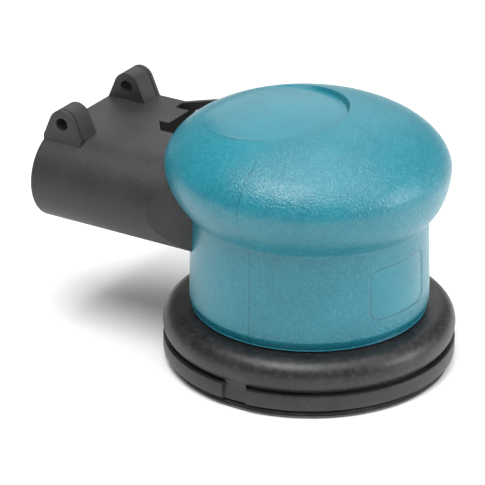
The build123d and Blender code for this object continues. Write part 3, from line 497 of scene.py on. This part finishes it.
def barrel_radius(height):
    """Radius at a height: a full round belly that tucks under to a fold, then the straight barrel.

    The belly falls by half an ellipse's drop and half a 1.6 power of the share of the way down, and
    would reach a little inside the barrel, so that the two meet at an angle.
    """
    share = np.clip((BULGE_HEIGHT - height) / (BULGE_HEIGHT - fold_height), 0.0, 1.0)
    drop = 0.5 * (1.0 - np.sqrt(1.0 - share**2)) + 0.5 * share**1.6
    belly = BULGE_RADIUS - (BULGE_RADIUS - NECK_RADIUS + FOLD_DEPTH) * drop
    barrel = NECK_RADIUS + (BARREL_RADIUS - NECK_RADIUS) * ramp(height, fold_height, BARREL_FOOT)
    return higher_of(belly, barrel) - higher_of(0.0, BULGE_RADIUS - barrel) + (BULGE_RADIUS - barrel)


print("barrel radius", round(BARREL_RADIUS, 1), "mm, neck radius", round(NECK_RADIUS, 1), "mm")

# %% [markdown]
# ## A bare panel on the barrel
#
# One side of the barrel has a small smooth panel, sunk by less than a sheet of card, where the mould
# has no grain. It could be cut in, but so shallow a cut would need a very fine mesh all round it.
# The distance to a rounded rectangle gives the dent here, and the finish asks for it again later.

# %% Sizes of the panel
PANEL_ANGLE = radians(-11.0)
PANEL_HEIGHT = 35.5
PANEL_HALF = (12.5, 8.5)  # half its width round the barrel and half its height
PANEL_CORNER = 3.5
PANEL_DEPTH = 0.18


def panel_distance(across, height):
    """Distance outside a rounded rectangle on the barrel: corners are arcs about inset corner points."""
    beside = np.abs(across) - (PANEL_HALF[0] - PANEL_CORNER)
    above = np.abs(height - PANEL_HEIGHT) - (PANEL_HALF[1] - PANEL_CORNER)
    outside = np.hypot(np.maximum(beside, 0.0), np.maximum(above, 0.0))
    return outside + np.minimum(np.maximum(beside, above), 0.0) - PANEL_CORNER


print("panel, mm:", 2 * PANEL_HALF[0], "by", 2 * PANEL_HALF[1])

# %% [markdown]
# ## Rings of the side
#
# The side is a stack of level rings whose radius is worked out above, with the panel's dent taken off
# and the bulge's extra fullness faded out before the fold.

# %% Rings of the side
heights = np.linspace(BULGE_HEIGHT, BARREL_FOOT, 106)[1:]
across = ((angle - PANEL_ANGLE + pi) % (2 * pi) - pi) * BARREL_RADIUS
edge = panel_distance(across[None, :], heights[:, None])
dent = PANEL_DEPTH * (1.0 - ramp(edge, -0.5, 0.4))
fullness = (bulge_reach() - BULGE_RADIUS) * ramp(heights[:, None], fold_height + 3.0, BULGE_HEIGHT)
radii = barrel_radius(heights[:, None]) + fullness - dent
side_rings = np.dstack([radii[..., None] * compass, np.broadcast_to(heights[:, None], radii.shape)])
print("side rings:", len(side_rings))

# %% [markdown]
# ## The skin has an inside
#
# Rubber is a few millimetres thick here and fits over the housing, so the skin is one closed solid.
# A thickness modifier would follow every dent on the outside. The inside of the real one is plain,
# because it was moulded against the housing, so a few level rings are enough.

# %% The skin, closed round its inside
housing_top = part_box("housing")[1]
ROOF = 79.2
CAVITY_SHOULDER = 70.2
CAVITY_ROOF_RADIUS = BARREL_RADIUS - WALL - 10.5
# Steps of the foot's edge: how far out from the barrel, and how far over the foot's plane.
foot_profile = [(0.0, 2.6), (-0.25, 1.6), (-0.6, 0.9), (-0.75, 0.6), (-0.45, 0.42), (-0.4, 0.2)]
foot_profile += [(-0.6, 0.02), (-1.0, 0.0), (-WALL + 0.2, 0.0), (-WALL, 0.2)]


def level_rings(profile):
    """Flat rings from a list of radius and height."""
    profile = np.array(profile)
    flat = profile[:, 0, None, None] * compass
    return np.dstack([flat, np.broadcast_to(profile[:, 1, None, None], (*flat.shape[:2], 1))])


foot_rings = level_rings([(BARREL_RADIUS + r, GRIP_FOOT + z) for r, z in foot_profile])
cavity = [(BARREL_RADIUS - WALL, z) for z in (30.0, 45.0, 60.0, CAVITY_SHOULDER)]
cavity += [(CAVITY_ROOF_RADIUS, ROOF), (CAVITY_ROOF_RADIUS / 2, ROOF), (4.0, ROOF)]
grip_rings = np.concatenate([top_rings, side_rings, foot_rings, level_rings(cavity)])
landing_middle = lean(np.array([[*LANDING_CENTRE, floor_height(LANDING_CENTRE)]]))
grip_skin = ring_surface("grip_skin", grip_rings, landing_middle, np.array([[0.0, 0.0, ROOF]]))
print("grip faces:", len(grip_skin.data.polygons))
print("inside roof at", ROOF, "mm, over a housing that ends at", round(housing_top[2] / MM, 1), "mm")

# %% [markdown]
# ## The opening for the tube
#
# The rubber is moulded hard up to the rear tube, with a hair's breadth of shadow between them. Two
# surfaces that meet on a curve like this have no simple grid, so this is the place for a boolean: a
# solid of the tube's own section, grown by the gap, is taken out of the skin.

# %% A solid of the tube's section
TUBE_MIDDLE = 50.7
TUBE_HALF = (31.1, 14.9)  # half its width and half its height
FACET_START = -41.4       # the tube's sides draw in from here
FACET_SLOPE = tan(radians(23.0))
COVER_GAP = 0.2
half_width, half_height = (half + COVER_GAP for half in TUBE_HALF)
side_turn = np.linspace(-pi / 2, pi / 2, 25)
side_y = half_width - half_height + half_height * np.cos(side_turn)
side_z = TUBE_MIDDLE + half_height * np.sin(side_turn)
section_y = np.concatenate([side_y, -side_y[::-1]])
section_z = np.concatenate([side_z, side_z[::-1]])
stations = np.array([-62.0, FACET_START, -36.0, -30.0, -24.0, -18.0, -12.0])
limits = half_width - np.clip(stations - FACET_START, 0.0, None) * FACET_SLOPE
cut_y = np.clip(section_y, -limits[:, None], limits[:, None])
cut_x = np.broadcast_to(stations[:, None], cut_y.shape)
cut_rings = np.stack([cut_x, cut_y, np.broadcast_to(section_z, cut_y.shape)], axis=-1)
poles = [np.array([[x, 0.0, TUBE_MIDDLE]]) for x in (stations[0], stations[-1])]
cutter = ring_surface("tube_cutter", cut_rings, poles[0], poles[1])
print("cutter rings:", len(cut_rings))

# %% Cut the opening
print("grip solid, cm3:", round(face_outwards(grip_skin) / 1000, 1))
print("cutter, cm3:", round(face_outwards(cutter) / 1000, 1))
opening = grip_skin.modifiers.new("opening", "BOOLEAN")
opening.object = cutter
opening.operation = "DIFFERENCE"
opening.solver = "EXACT"
depsgraph = bpy.context.evaluated_depsgraph_get()
cut_mesh = bpy.data.meshes.new_from_object(grip_skin.evaluated_get(depsgraph))
grip_skin.modifiers.clear()
grip_skin.data = cut_mesh
bpy.data.objects.remove(cutter)
print("after the cut:", len(cut_mesh.polygons), "faces,", smooth(grip_skin), "sharp edges")
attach(grip_skin, "casing")
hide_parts("grip")

# %% [markdown]
# ## The rubber's finish
#
# The real mould for this grip is etched with a leather-like grain, left bare inside the landing and
# on a small panel. Grain that covered everything would be simpler, but a palm rests in the smooth
# landing and the etched grain is what the fingers hold, so the finish asks where each point is before
# it adds any. The colour barely changes; what the eye reads as rubber is the broken highlight.

# %% Where the grain lies
rubber = Finish("grip_rubber", specular_ior_level=0.5, coat_weight=0.15, coat_roughness=0.22)
from_landing = rubber.add(
    "ShaderNodeVectorMath",
    {"operation": "DISTANCE"},
    {0: rubber.add("ShaderNodeCombineXYZ", {}, {0: rubber.x, 1: rubber.y}),
     1: (LANDING_CENTRE[0] - CROWN_LEAN, LANDING_CENTRE[1], 0.0)},
    1,
)
on_crown = rubber.z.above(BULGE_HEIGHT + 12.0, BULGE_HEIGHT + 14.0)
outside_landing = from_landing.above(LANDING_RADIUS - 0.2, LANDING_RADIUS + 1.2)
around = rubber.y.math("ARCTAN2", rubber.x)
across_panel = (around - PANEL_ANGLE) * BARREL_RADIUS
beside = abs(across_panel) - (PANEL_HALF[0] - PANEL_CORNER)
over = abs(rubber.z - PANEL_HEIGHT) - (PANEL_HALF[1] - PANEL_CORNER)
past_side = beside.math("MAXIMUM", 0.0)
past_top = over.math("MAXIMUM", 0.0)
outward = (past_side * past_side + past_top * past_top).math("SQRT")
off_panel = outward + beside.math("MAXIMUM", over).math("MINIMUM", 0.0) - PANEL_CORNER
right_side = rubber.x.above(-14.0, 12.0)
grain_mask = (1.0 - on_crown * (1.0 - outside_landing)) * off_panel.above(-0.3, 0.6)
grain_mask = grain_mask * rubber.z.above(GRIP_FOOT + 2.2, GRIP_FOOT + 3.4)
print("nodes that only ask where a point is:", len(rubber.tree.nodes))

# %% [markdown]
# ## Grain, cloud, seam, painted shade and the rubber's colour
#
# Each mark on the rubber is a value of its own: pebbles, a waver that breaks them up, a cloud of
# tone, the line round the panel, the darker foot and the faint seam where the mould's halves met.
# Two more marks are painted shade: darker crevices between the pebbles, and a darker half of the
# landing's wall on the side away from the tube.
# One picture of rubber could hold them all, but values can be tuned one by one.

# %% Colour and relief of the grip
pebbles = rubber.cells(0.95, along=(1.0, 1.0, 2.2)).above(0.02, 0.30)
waver = rubber.noise(0.75, 3.0, along=(1.0, 1.0, 2.6), offset=3.0)
grain = (pebbles * 0.55 + waver * 0.9) * grain_mask * (0.25 + 0.75 * right_side)
cloud = rubber.noise(14.0, 2.0, offset=1.0)
speck = rubber.noise(1.1, 3.0, offset=8.0)
panel_line = 1.0 - abs(off_panel).above(0.05, 0.3)
foot_band = 1.0 - rubber.z.above(GRIP_FOOT + 2.2, GRIP_FOOT + 2.5)
seam = (1.0 - abs(rubber.x - 0.6).above(0.05, 0.16)) * (1.0 - on_crown) * rubber.y.above(0.0, -1.0)
base = rubber.mix(cloud.above(0.3, 0.7), (0.002, 0.155, 0.210), (0.005, 0.180, 0.240))
base = rubber.mix(speck.above(0.35, 0.75) * grain_mask * 0.5, base, (0.035, 0.250, 0.310))
# Painted shade: the crevices between the pebbles are darkened, more on the side away from the tube.
base = rubber.mix((1.0 - pebbles) * grain_mask * right_side * 0.28, base, (0.010, 0.130, 0.175))
base = rubber.mix(foot_band * 0.55, base, (0.006, 0.135, 0.190))
base = rubber.mix(panel_line * 0.75, base, (0.006, 0.065, 0.085))
base = rubber.mix(seam * 0.5, base, (0.006, 0.080, 0.105))
# Painted shade: the landing's wall is darkened on its half away from the tube, as if in shadow.
on_wall = from_landing.above(LANDING_RADIUS - LANDING_WALL - 0.6, LANDING_RADIUS - 0.9)
painted_wall_shade = on_wall * (1.0 - outside_landing) * on_crown
base = rubber.mix(painted_wall_shade * rubber.x.above(-27.0, -6.0) * 0.5, base, (0.004, 0.120, 0.165))
rubber.feed("Base Color", base)
rubber.feed("Roughness", 0.22 + 0.07 * grain_mask + 0.1 * speck)
rubber.relief(grain * 0.17 - seam * 0.12 - panel_line * 0.10 + cloud * 0.03)
dress(grip_skin, rubber)
print("grip rubber nodes:", len(rubber.tree.nodes))

# %% [markdown]
# ## The shroud
#
# The shroud is a soft black ring that clips under the housing and keeps fingers and dust off the
# spinning pad. Its roll hides a clip groove, and below a thin slit two raised bands wrap the skirt
# and stop short of one another. The bands could be separate hoops, but on the real moulding they are
# one rubber with the roll, so one grid is wound with its depth changing by angle.

# %% Sizes of the shroud
shroud_low, shroud_high = (np.array(corner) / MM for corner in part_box("shroud"))
SKIRT_RADIUS = shroud_high[1]
SKIRT_FOOT = shroud_low[2]
BAND_TOP, SLIT_TOP = 8.0, 9.3
SLIT_DEPTH = 2.2
BAND_STEP = 0.9          # a band stands this far out from the skirt between the bands
ROLL_RADIUS, ROLL_CENTRE = 5.9, (40.7, 12.7)
SEAT_RADIUS, SEAT_TOP, SKIRT_BORE = 34.9, shroud_high[2], 43.4
SKIRT_COLUMNS = 720
FRONT_BAND = (-84.7, 84.7)
REAR_BAND = (95.0, 265.0)
BAND_END = 0.3           # degrees over which a band's end rises
skirt_angle = np.linspace(0.0, 2 * pi, SKIRT_COLUMNS, endpoint=False)
skirt_compass = directions(skirt_angle)
degrees = (np.rad2deg(skirt_angle) + 90.0) % 360.0 - 90.0


def band_share(start, end):
    """1 from start to end in degrees, falling smoothly to 0 just outside them."""
    return ramp(degrees, start - BAND_END, start) * (1.0 - ramp(degrees, end, end + BAND_END))


band = np.clip(band_share(*FRONT_BAND) + band_share(*REAR_BAND), 0.0, 1.0)
print(f"skirt radius {SKIRT_RADIUS:.1f} mm, banded over {band.mean():.0%} of the way round")

# %% [markdown]
# ## The shroud's profile
#
# From the top seat the profile goes over the roll, down to the slit and the skirt, round the foot and
# up the inside. Where a band wraps the skirt, the same steps stand further out. Two profiles with a
# seam between them would leave a gap at the bands' ends, so each step holds both radii.

# %% Profile of the shroud
roll_turn = np.linspace(pi / 2, -0.62, 30)
roll_radii = ROLL_CENTRE[0] + ROLL_RADIUS * np.cos(roll_turn)
roll_heights = ROLL_CENTRE[1] + ROLL_RADIUS * np.sin(roll_turn)
roll_foot = roll_radii[-1]
steady = [(ROLL_CENTRE[0] - 2.0, SEAT_TOP), *zip(roll_radii, roll_heights)]
banded = [
    # (radius where there is a band, radius where there is none, height)
    (roll_foot - 0.15, roll_foot - 0.05, SLIT_TOP + 0.02),
    (SKIRT_RADIUS - SLIT_DEPTH, roll_foot - 0.1, SLIT_TOP),
    (SKIRT_RADIUS - SLIT_DEPTH, roll_foot - 0.12, BAND_TOP + 0.04),
    (SKIRT_RADIUS - 0.45, roll_foot - 0.14, BAND_TOP),
    (SKIRT_RADIUS - 0.13, roll_foot - 0.16, BAND_TOP - 0.13),
    (SKIRT_RADIUS, roll_foot - 0.18, BAND_TOP - 0.45),
    (SKIRT_RADIUS, SKIRT_RADIUS - BAND_STEP, (BAND_TOP + SKIRT_FOOT) / 2),
    (SKIRT_RADIUS, SKIRT_RADIUS - BAND_STEP, SKIRT_FOOT + 0.7),
    (SKIRT_RADIUS - 0.2, SKIRT_RADIUS - BAND_STEP - 0.1, SKIRT_FOOT + 0.2),
    (SKIRT_RADIUS - 0.7, SKIRT_RADIUS - BAND_STEP - 0.3, SKIRT_FOOT),
]
inside = [(SKIRT_BORE + 0.4, SKIRT_FOOT), (SKIRT_BORE, SKIRT_FOOT + 0.4), (SKIRT_BORE, 9.5), (42.6, 10.6)]
inside += [(40.8, 11.3), (SEAT_RADIUS + 0.3, 11.5), (SEAT_RADIUS, 11.8), (SEAT_RADIUS, SEAT_TOP - 0.4)]
inside += [(SEAT_RADIUS + 0.4, SEAT_TOP)]
profile = [(r, r, z) for r, z in steady] + banded + [(r, r, z) for r, z in inside]
print("steps round the profile:", len(profile))


# %% Shroud skirt
def wound(with_band, without_band, height):
    """One ring whose radius goes from one value to another by how much band there is at each angle."""
    reach = without_band + (with_band - without_band) * band
    return np.column_stack([reach[:, None] * skirt_compass, np.full(SKIRT_COLUMNS, height)])


shroud_skirt = ring_surface("shroud_skirt", np.stack([wound(*row) for row in profile]), closed=True)
close_up(shroud_skirt, 30.0)
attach(shroud_skirt, "casing")
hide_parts("shroud")

# %% [markdown]
# ## Black rubber that has been handled
#
# The shroud's rubber is softer than the grip and dries to a bloom: paler, slightly brown, mottled.
# One even black would hide the roll's shape, so the bloom is laid thickest on top and the colour
# drifts with two sizes of cloud.

# %% Shroud rubber
bloom = Finish("shroud_rubber", specular_ior_level=0.5)
wide_cloud = bloom.noise(9.0, 3.0, offset=2.0)
fine_cloud = bloom.noise(1.6, 4.0, offset=5.0)
pores = bloom.noise(0.45, 3.0, offset=7.0)
on_top = bloom.z.above(8.5, 17.0)
tone = bloom.mix(wide_cloud.above(0.32, 0.68), (0.006, 0.0055, 0.0055), (0.016, 0.0145, 0.0145))
tone = bloom.mix(fine_cloud.above(0.45, 0.75) * 0.45, tone, (0.052, 0.048, 0.052))
tone = bloom.mix(pores.above(0.55, 0.8) * 0.35, tone, (0.008, 0.008, 0.008))
tone = bloom.mix((1.0 - on_top) * 0.4, tone, (0.022, 0.0195, 0.0175))
bloom.feed("Base Color", tone)
bloom.feed("Roughness", 0.30 + 0.22 * fine_cloud)
bloom.relief(pores * 0.05 + fine_cloud * 0.10)
dress(shroud_skirt, bloom)
print("shroud rubber nodes:", len(bloom.tree.nodes))

# %% [markdown]
# ## The foam cushion
#
# Between the pad's plate and the abrasive sits a disc of dense foam. Its rim is moulded with a skin,
# so it has a rounded lip rather than a cut edge. A block of open foam would also be true of cheaper
# pads, but the moulded skin is what lets the tool be wiped clean.

# %% Foam cushion
foam_low, foam_high = (np.array(corner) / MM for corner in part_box("pad_foam"))
pad_axis = (foam_low + foam_high)[:2] / 2
PAD_RADIUS = (foam_high[0] - foam_low[0]) / 2
FOAM_FOOT, FOAM_TOP = foam_low[2], foam_high[2]
FOAM_BORE, FOAM_NECK = 2.0, 33.5
FOAM_LIP = 0.7           # radius of the rounded rim
SIDE_RADIUS, SIDE_HOLLOW = 41.5, 0.35
SIDE_FOOT, SIDE_HEIGHT = 3.0, 3.5
foam_compass = directions(np.linspace(0.0, 2 * pi, 288, endpoint=False))
print("foam from", np.round(foam_low, 2), "to", np.round(foam_high, 2))


# %% Foam cushion, turned about the pad's own axis
def turned(name, outline, centre, compass_points):
    """A closed ring surface: an outline of radius and height carried round an upright axis."""
    outline = np.array(outline)
    flat = centre + outline[:, 0, None, None] * compass_points
    level = np.broadcast_to(outline[:, 1, None, None], (*flat.shape[:2], 1))
    return ring_surface(name, np.dstack([flat, level]), closed=True)


lip_arc = directions(np.linspace(pi / 2, -pi / 2, 11))
lip = np.array([PAD_RADIUS - FOAM_LIP, FOAM_FOOT + FOAM_LIP]) + FOAM_LIP * lip_arc
side_share = np.linspace(1.0, 0.0, 9)
side_radii = SIDE_RADIUS - SIDE_HOLLOW * np.sin(pi * side_share)
foam_outline = [(FOAM_BORE, FOAM_TOP), (FOAM_NECK, FOAM_TOP)]
foam_outline += [*zip(side_radii, SIDE_FOOT + SIDE_HEIGHT * side_share), (42.6, 2.6), (43.5, 2.3)]
foam_outline += [*lip.tolist(), (FOAM_BORE, FOAM_FOOT)]
foam_cushion = turned("foam_cushion", foam_outline, pad_axis, foam_compass)
close_up(foam_cushion, 50.0)
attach(foam_cushion, "pad")
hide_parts("pad_foam")

# %% [markdown]
# ## The inlet's thread
#
# The frame's bushing has a plain bore at the size of the thread's crests, because a fit check measures
# a plain cylinder better. The eye expects the thread. On the bench it is tapped; here each ring's
# radius follows a triangle wave whose phase advances one turn for each pitch along the bore.

# %% Thread
bushing_low, bushing_high = (np.array(corner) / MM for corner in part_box("inlet_bushing"))
INLET_CENTRE = (bushing_low[1:] + bushing_high[1:]) / 2
INLET_RADIUS = (bushing_high[2] - bushing_low[2]) / 2
MOUTH, COLLAR_END = bushing_low[0], bushing_high[0]
THREAD_START, THREAD_END = MOUTH + 0.9, MOUTH + 14.8
THREAD_CREST, THREAD_DEPTH, THREAD_PITCH = 5.7, 0.75, 1.41
RELIEF_RADIUS, RELIEF_END = 6.2, THREAD_END + 0.8
SCREEN_SEAT_RADIUS, SCREEN_SEAT_END = 5.15, THREAD_END + 1.5
PASSAGE_RADIUS = 4.5
collar_angle = np.linspace(0.0, 2 * pi, 96, endpoint=False)
thread_x = np.arange(THREAD_START, THREAD_END, THREAD_PITCH / 12)
phase = (thread_x[:, None] - MOUTH) / THREAD_PITCH - collar_angle / (2 * pi)
wave = 2.0 * np.abs(phase % 1.0 - 0.5)
run_in = ramp(thread_x, THREAD_START, MOUTH + 1.5)[:, None]
thread_radius = THREAD_CREST + 0.06 + THREAD_DEPTH * (1.0 - run_in + run_in * wave)
print("turns of thread:", round((THREAD_END - THREAD_START) / THREAD_PITCH, 1))


# %% Inlet collar
def across_bore(radius, x):
    """A ring of the collar: radius may vary with the angle, x is where it stands."""
    radius = np.broadcast_to(radius, collar_angle.shape)
    y = INLET_CENTRE[0] + radius * np.cos(collar_angle)
    z = INLET_CENTRE[1] + radius * np.sin(collar_angle)
    return np.stack([np.full(len(collar_angle), x), y, z], axis=-1)


collar = [across_bore(INLET_RADIUS, x) for x in (COLLAR_END, MOUTH + 0.5)]
collar += [across_bore(INLET_RADIUS - 0.45, MOUTH), across_bore(THREAD_CREST + 1.5, MOUTH)]
collar += [across_bore(THREAD_CREST + 0.8, MOUTH + 0.75)]
collar += [across_bore(radius, x) for radius, x in zip(thread_radius, thread_x)]
collar += [across_bore(RELIEF_RADIUS, x) for x in (THREAD_END, RELIEF_END)]
collar += [across_bore(SCREEN_SEAT_RADIUS, x) for x in (RELIEF_END, SCREEN_SEAT_END)]
collar += [across_bore(PASSAGE_RADIUS, x) for x in (SCREEN_SEAT_END, COLLAR_END)]
inlet_collar = ring_surface("inlet_collar", np.stack(collar), closed=True)
close_up(inlet_collar, 40.0)
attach(inlet_collar, "casing")
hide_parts("inlet_bushing")

# %% [markdown]
# ## The housing's black composite
#
# The tube, the ears and the body are one moulding in a hard black composite, spark-eroded to a fine
# matte grain so that oily hands leave no shine. Paint over metal would chip at the ears. The bevel in
# the normal gives each edge the small radius that every moulded edge has.

# %% Housing composite
composite = Finish("housing_plastic", specular_ior_level=0.35)
spark = composite.noise(0.35, 3.0, offset=4.0)
spark_cells = composite.cells(0.6).above(0.0, 0.35)
drift = composite.noise(18.0, 2.0, offset=6.0)
black = composite.mix(drift.above(0.3, 0.7), (0.022, 0.022, 0.0235), (0.033, 0.033, 0.0345))
black = composite.mix(spark.above(0.5, 0.8) * 0.5, black, (0.050, 0.050, 0.053))
composite.feed("Base Color", black)
composite.feed("Roughness", 0.34 + 0.2 * spark)
composite.relief(spark * 0.09 + spark_cells * 0.04, round_edges=0.35)
print("composite nodes:", len(composite.tree.nodes))

# %% [markdown]
# ## Plain black parts of the pad and the seals
#
# The foam's skin, the vinyl face, the nylon backing and the seals are all nearly black, so their
# difference is in the surface: pores, a sheet's faint crease, glass fibre showing at the skin, and
# the smooth shine of a seal.

# %% Foam skin, vinyl, nylon and seals
foam = Finish("pad_foam", specular_ior_level=0.25)
foam_pores = foam.cells(0.6, feature="F1")
foam_cloud = foam.noise(4.0, 3.0)
foam.feed("Base Color", foam.mix(foam_cloud.above(0.35, 0.65), (0.020, 0.018, 0.0165), (0.040, 0.036, 0.033)))
foam.feed("Roughness", 0.70 + 0.2 * foam_cloud)
foam.relief(foam_pores * 0.15)

vinyl = Finish("pad_vinyl")
crease = vinyl.noise(3.0, 4.0, along=(1.0, 2.5, 1.0))
vinyl.feed("Base Color", vinyl.mix(crease.above(0.35, 0.7), (0.075, 0.075, 0.080), (0.120, 0.120, 0.126)))
vinyl.feed("Roughness", 0.30 + 0.25 * crease)
vinyl.relief(crease * 0.06)

nylon = Finish("pad_nylon")
fibre = nylon.noise(0.5, 3.0, along=(1.0, 6.0, 1.0))
fibre_two = nylon.noise(0.5, 3.0, along=(6.0, 1.0, 1.0), offset=2.0)
crossing = (fibre * fibre_two * 2.0).above(0.3, 0.8)
nylon.feed("Base Color", nylon.mix(crossing, (0.030, 0.030, 0.033), (0.085, 0.083, 0.080)))
nylon.feed("Roughness", 0.40 + 0.2 * fibre)
nylon.relief(fibre * 0.03, round_edges=0.25)

seal = Finish("seal_rubber")
seal_cloud = seal.noise(1.5, 3.0)
seal.feed("Base Color", seal.mix(seal_cloud, (0.008, 0.008, 0.008), (0.022, 0.022, 0.021)))
seal.feed("Roughness", 0.22 + 0.25 * seal_cloud)
seal.relief(seal_cloud * 0.02)
print("finishes so far:", list(Finish.made))

# %% [markdown]
# ## Metals
#
# Every metal here was turned, ground or drawn, and each way of making leaves its own lines. Turning
# leaves fine rings across the axis, so the pattern is noise squeezed along Z. A single mirror-like
# metal would say nothing about how the piece was made.


# %% Metals
def metal(name, dark, light, roughness, line=0.12, depth=0.01, stain=(0.12, 0.10, 0.08), stained=0.15):
    """A turned metal: rings of tool marks along Z, a wide drift of tone and a little oil stain."""
    finish = Finish(name, metallic=1.0)
    marks = finish.noise(line, 2.0, along=(30.0, 30.0, 1.0))
    drift = finish.noise(6.0, 3.0, offset=3.0)
    oil = finish.noise(2.2, 4.0, offset=9.0).above(0.56, 0.72)
    tone = finish.mix(marks.above(0.3, 0.7) * 0.6 + drift * 0.4, dark, light)
    finish.feed("Base Color", finish.mix(oil * stained, tone, stain))
    finish.feed("Roughness", roughness * 0.75 + roughness * 0.6 * marks + 0.12 * oil)
    finish.relief(marks * depth, round_edges=0.12)
    return finish


steel = metal("steel", (0.42, 0.42, 0.43), (0.60, 0.60, 0.61), 0.30)
spring_steel = metal("spring_steel", (0.15, 0.15, 0.17), (0.28, 0.28, 0.30), 0.34, stained=0.35)
bearing_steel = metal(
    "bearing_steel", (0.66, 0.66, 0.67), (0.78, 0.78, 0.79), 0.10, depth=0.003, stained=0.05
)
aluminium = metal("aluminium", (0.62, 0.62, 0.63), (0.78, 0.78, 0.79), 0.34, line=0.2, depth=0.016)
cylinder_steel = metal("cylinder_steel", (0.30, 0.29, 0.28), (0.46, 0.45, 0.43), 0.26, line=0.16, stained=0.3)
brass = metal("brass", (0.50, 0.34, 0.12), (0.74, 0.55, 0.24), 0.26, stain=(0.16, 0.09, 0.03), stained=0.3)
print("finishes so far:", len(Finish.made))

# %% [markdown]
# ## Laminate and felt
#
# The motor's vanes are cut from cloth soaked in resin, so their faces show a weave. The muffler in
# the exhaust is pressed felt: no grain at all, only fibres lying every way.

# %% Vane laminate and muffler felt
THREAD_SPACING = 0.7
laminate = Finish("vane_laminate")
warp = (laminate.z * (2 * pi / THREAD_SPACING)).math("SINE")
weft = ((laminate.x + laminate.y) * (2 * pi / THREAD_SPACING)).math("SINE")
weave = (warp * weft).above(-0.6, 0.6)
scorch = laminate.noise(3.0, 3.0)
cloth = laminate.mix(weave, (0.150, 0.075, 0.030), (0.300, 0.165, 0.075))
laminate.feed("Base Color", laminate.mix(scorch.above(0.5, 0.8) * 0.5, cloth, (0.09, 0.045, 0.02)))
laminate.feed("Roughness", 0.40 + 0.2 * weave)
laminate.relief(weave * 0.03)

felt = Finish("muffler_felt", specular_ior_level=0.1)
hair = felt.noise(0.3, 4.0, along=(1.0, 5.0, 1.0))
hair_two = felt.noise(0.3, 4.0, along=(1.0, 1.0, 5.0), offset=3.0)
felt.feed("Base Color", felt.mix((hair + hair_two).above(0.8, 1.2), (0.34, 0.31, 0.26), (0.60, 0.57, 0.50)))
felt.feed("Roughness", 0.85 + 0.1 * hair)
felt.relief((hair + hair_two) * 0.10)
print("all finishes:", len(Finish.made))

# %% [markdown]
# ## Dressing the frame
#
# Each frame piece belongs to one material slot, so a table of slot and pieces is all that is left to
# write. The pieces keep their shapes: only their finish changes.

# %% Dress every frame piece
WEARS = {
    composite: "housing exhaust_grille",
    aluminium: "lock_ring lower_end_plate upper_end_plate",
    cylinder_steel: "cylinder",
    steel: "motor_dowel inlet_collar crank_shaft rotor rotor_key spindle pad_stud pad_rivets valve_stem",
    bearing_steel: " ".join(
        f"{place}_bearing_{part}"
        for place in ("lower", "upper", "spindle")
        for part in ("outer_race", "balls", "inner_race")
    ),
    spring_steel: "valve_spring regulator_ring shaft_clip bearing_retaining_ring spindle_clip",
    brass: "inlet_screen valve_seat valve_guide speed_regulator",
    seal: "motor_cushion_ring stem_seal valve_disc regulator_seal",
    laminate: "rotor_vanes",
    felt: "exhaust_muffler",
    nylon: "pad_plate",
    vinyl: "pad_facing",
    foam: "foam_cushion",
}
pieces = dict(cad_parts) | {"inlet_collar": inlet_collar, "foam_cushion": foam_cushion}
for finish, names in WEARS.items():
    for name in names.split():
        dress(pieces[name], finish)
dressed = {name for names in WEARS.values() for name in names.split()}
print("not dressed here:", sorted(set(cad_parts) - dressed))

# %% [markdown]
# ## A pale floor
#
# The tool stands on its pad on a pale floor with no edge in sight, so the eye has nothing to read but
# the tool and its shadow.

# %% Floor
FLOOR_REACH = 3.0
corners = [(-1, -1), (1, -1), (1, 1), (-1, 1)]
floor_mesh = bpy.data.meshes.new("floor")
floor_mesh.from_pydata([(FLOOR_REACH * x, FLOOR_REACH * y, 0.0) for x, y in corners], [], [(0, 1, 2, 3)])
floor_plane = bpy.data.objects.new("floor", floor_mesh)
bpy.context.scene.collection.objects.link(floor_plane)
ground = Finish("pale_floor", roughness=0.9)
paper = ground.noise(30.0, 3.0)
ground.feed("Base Color", ground.mix(paper, (0.93, 0.93, 0.93), (0.96, 0.96, 0.96)))
dress(floor_plane, ground)
print("floor reaches", FLOOR_REACH, "m each way")
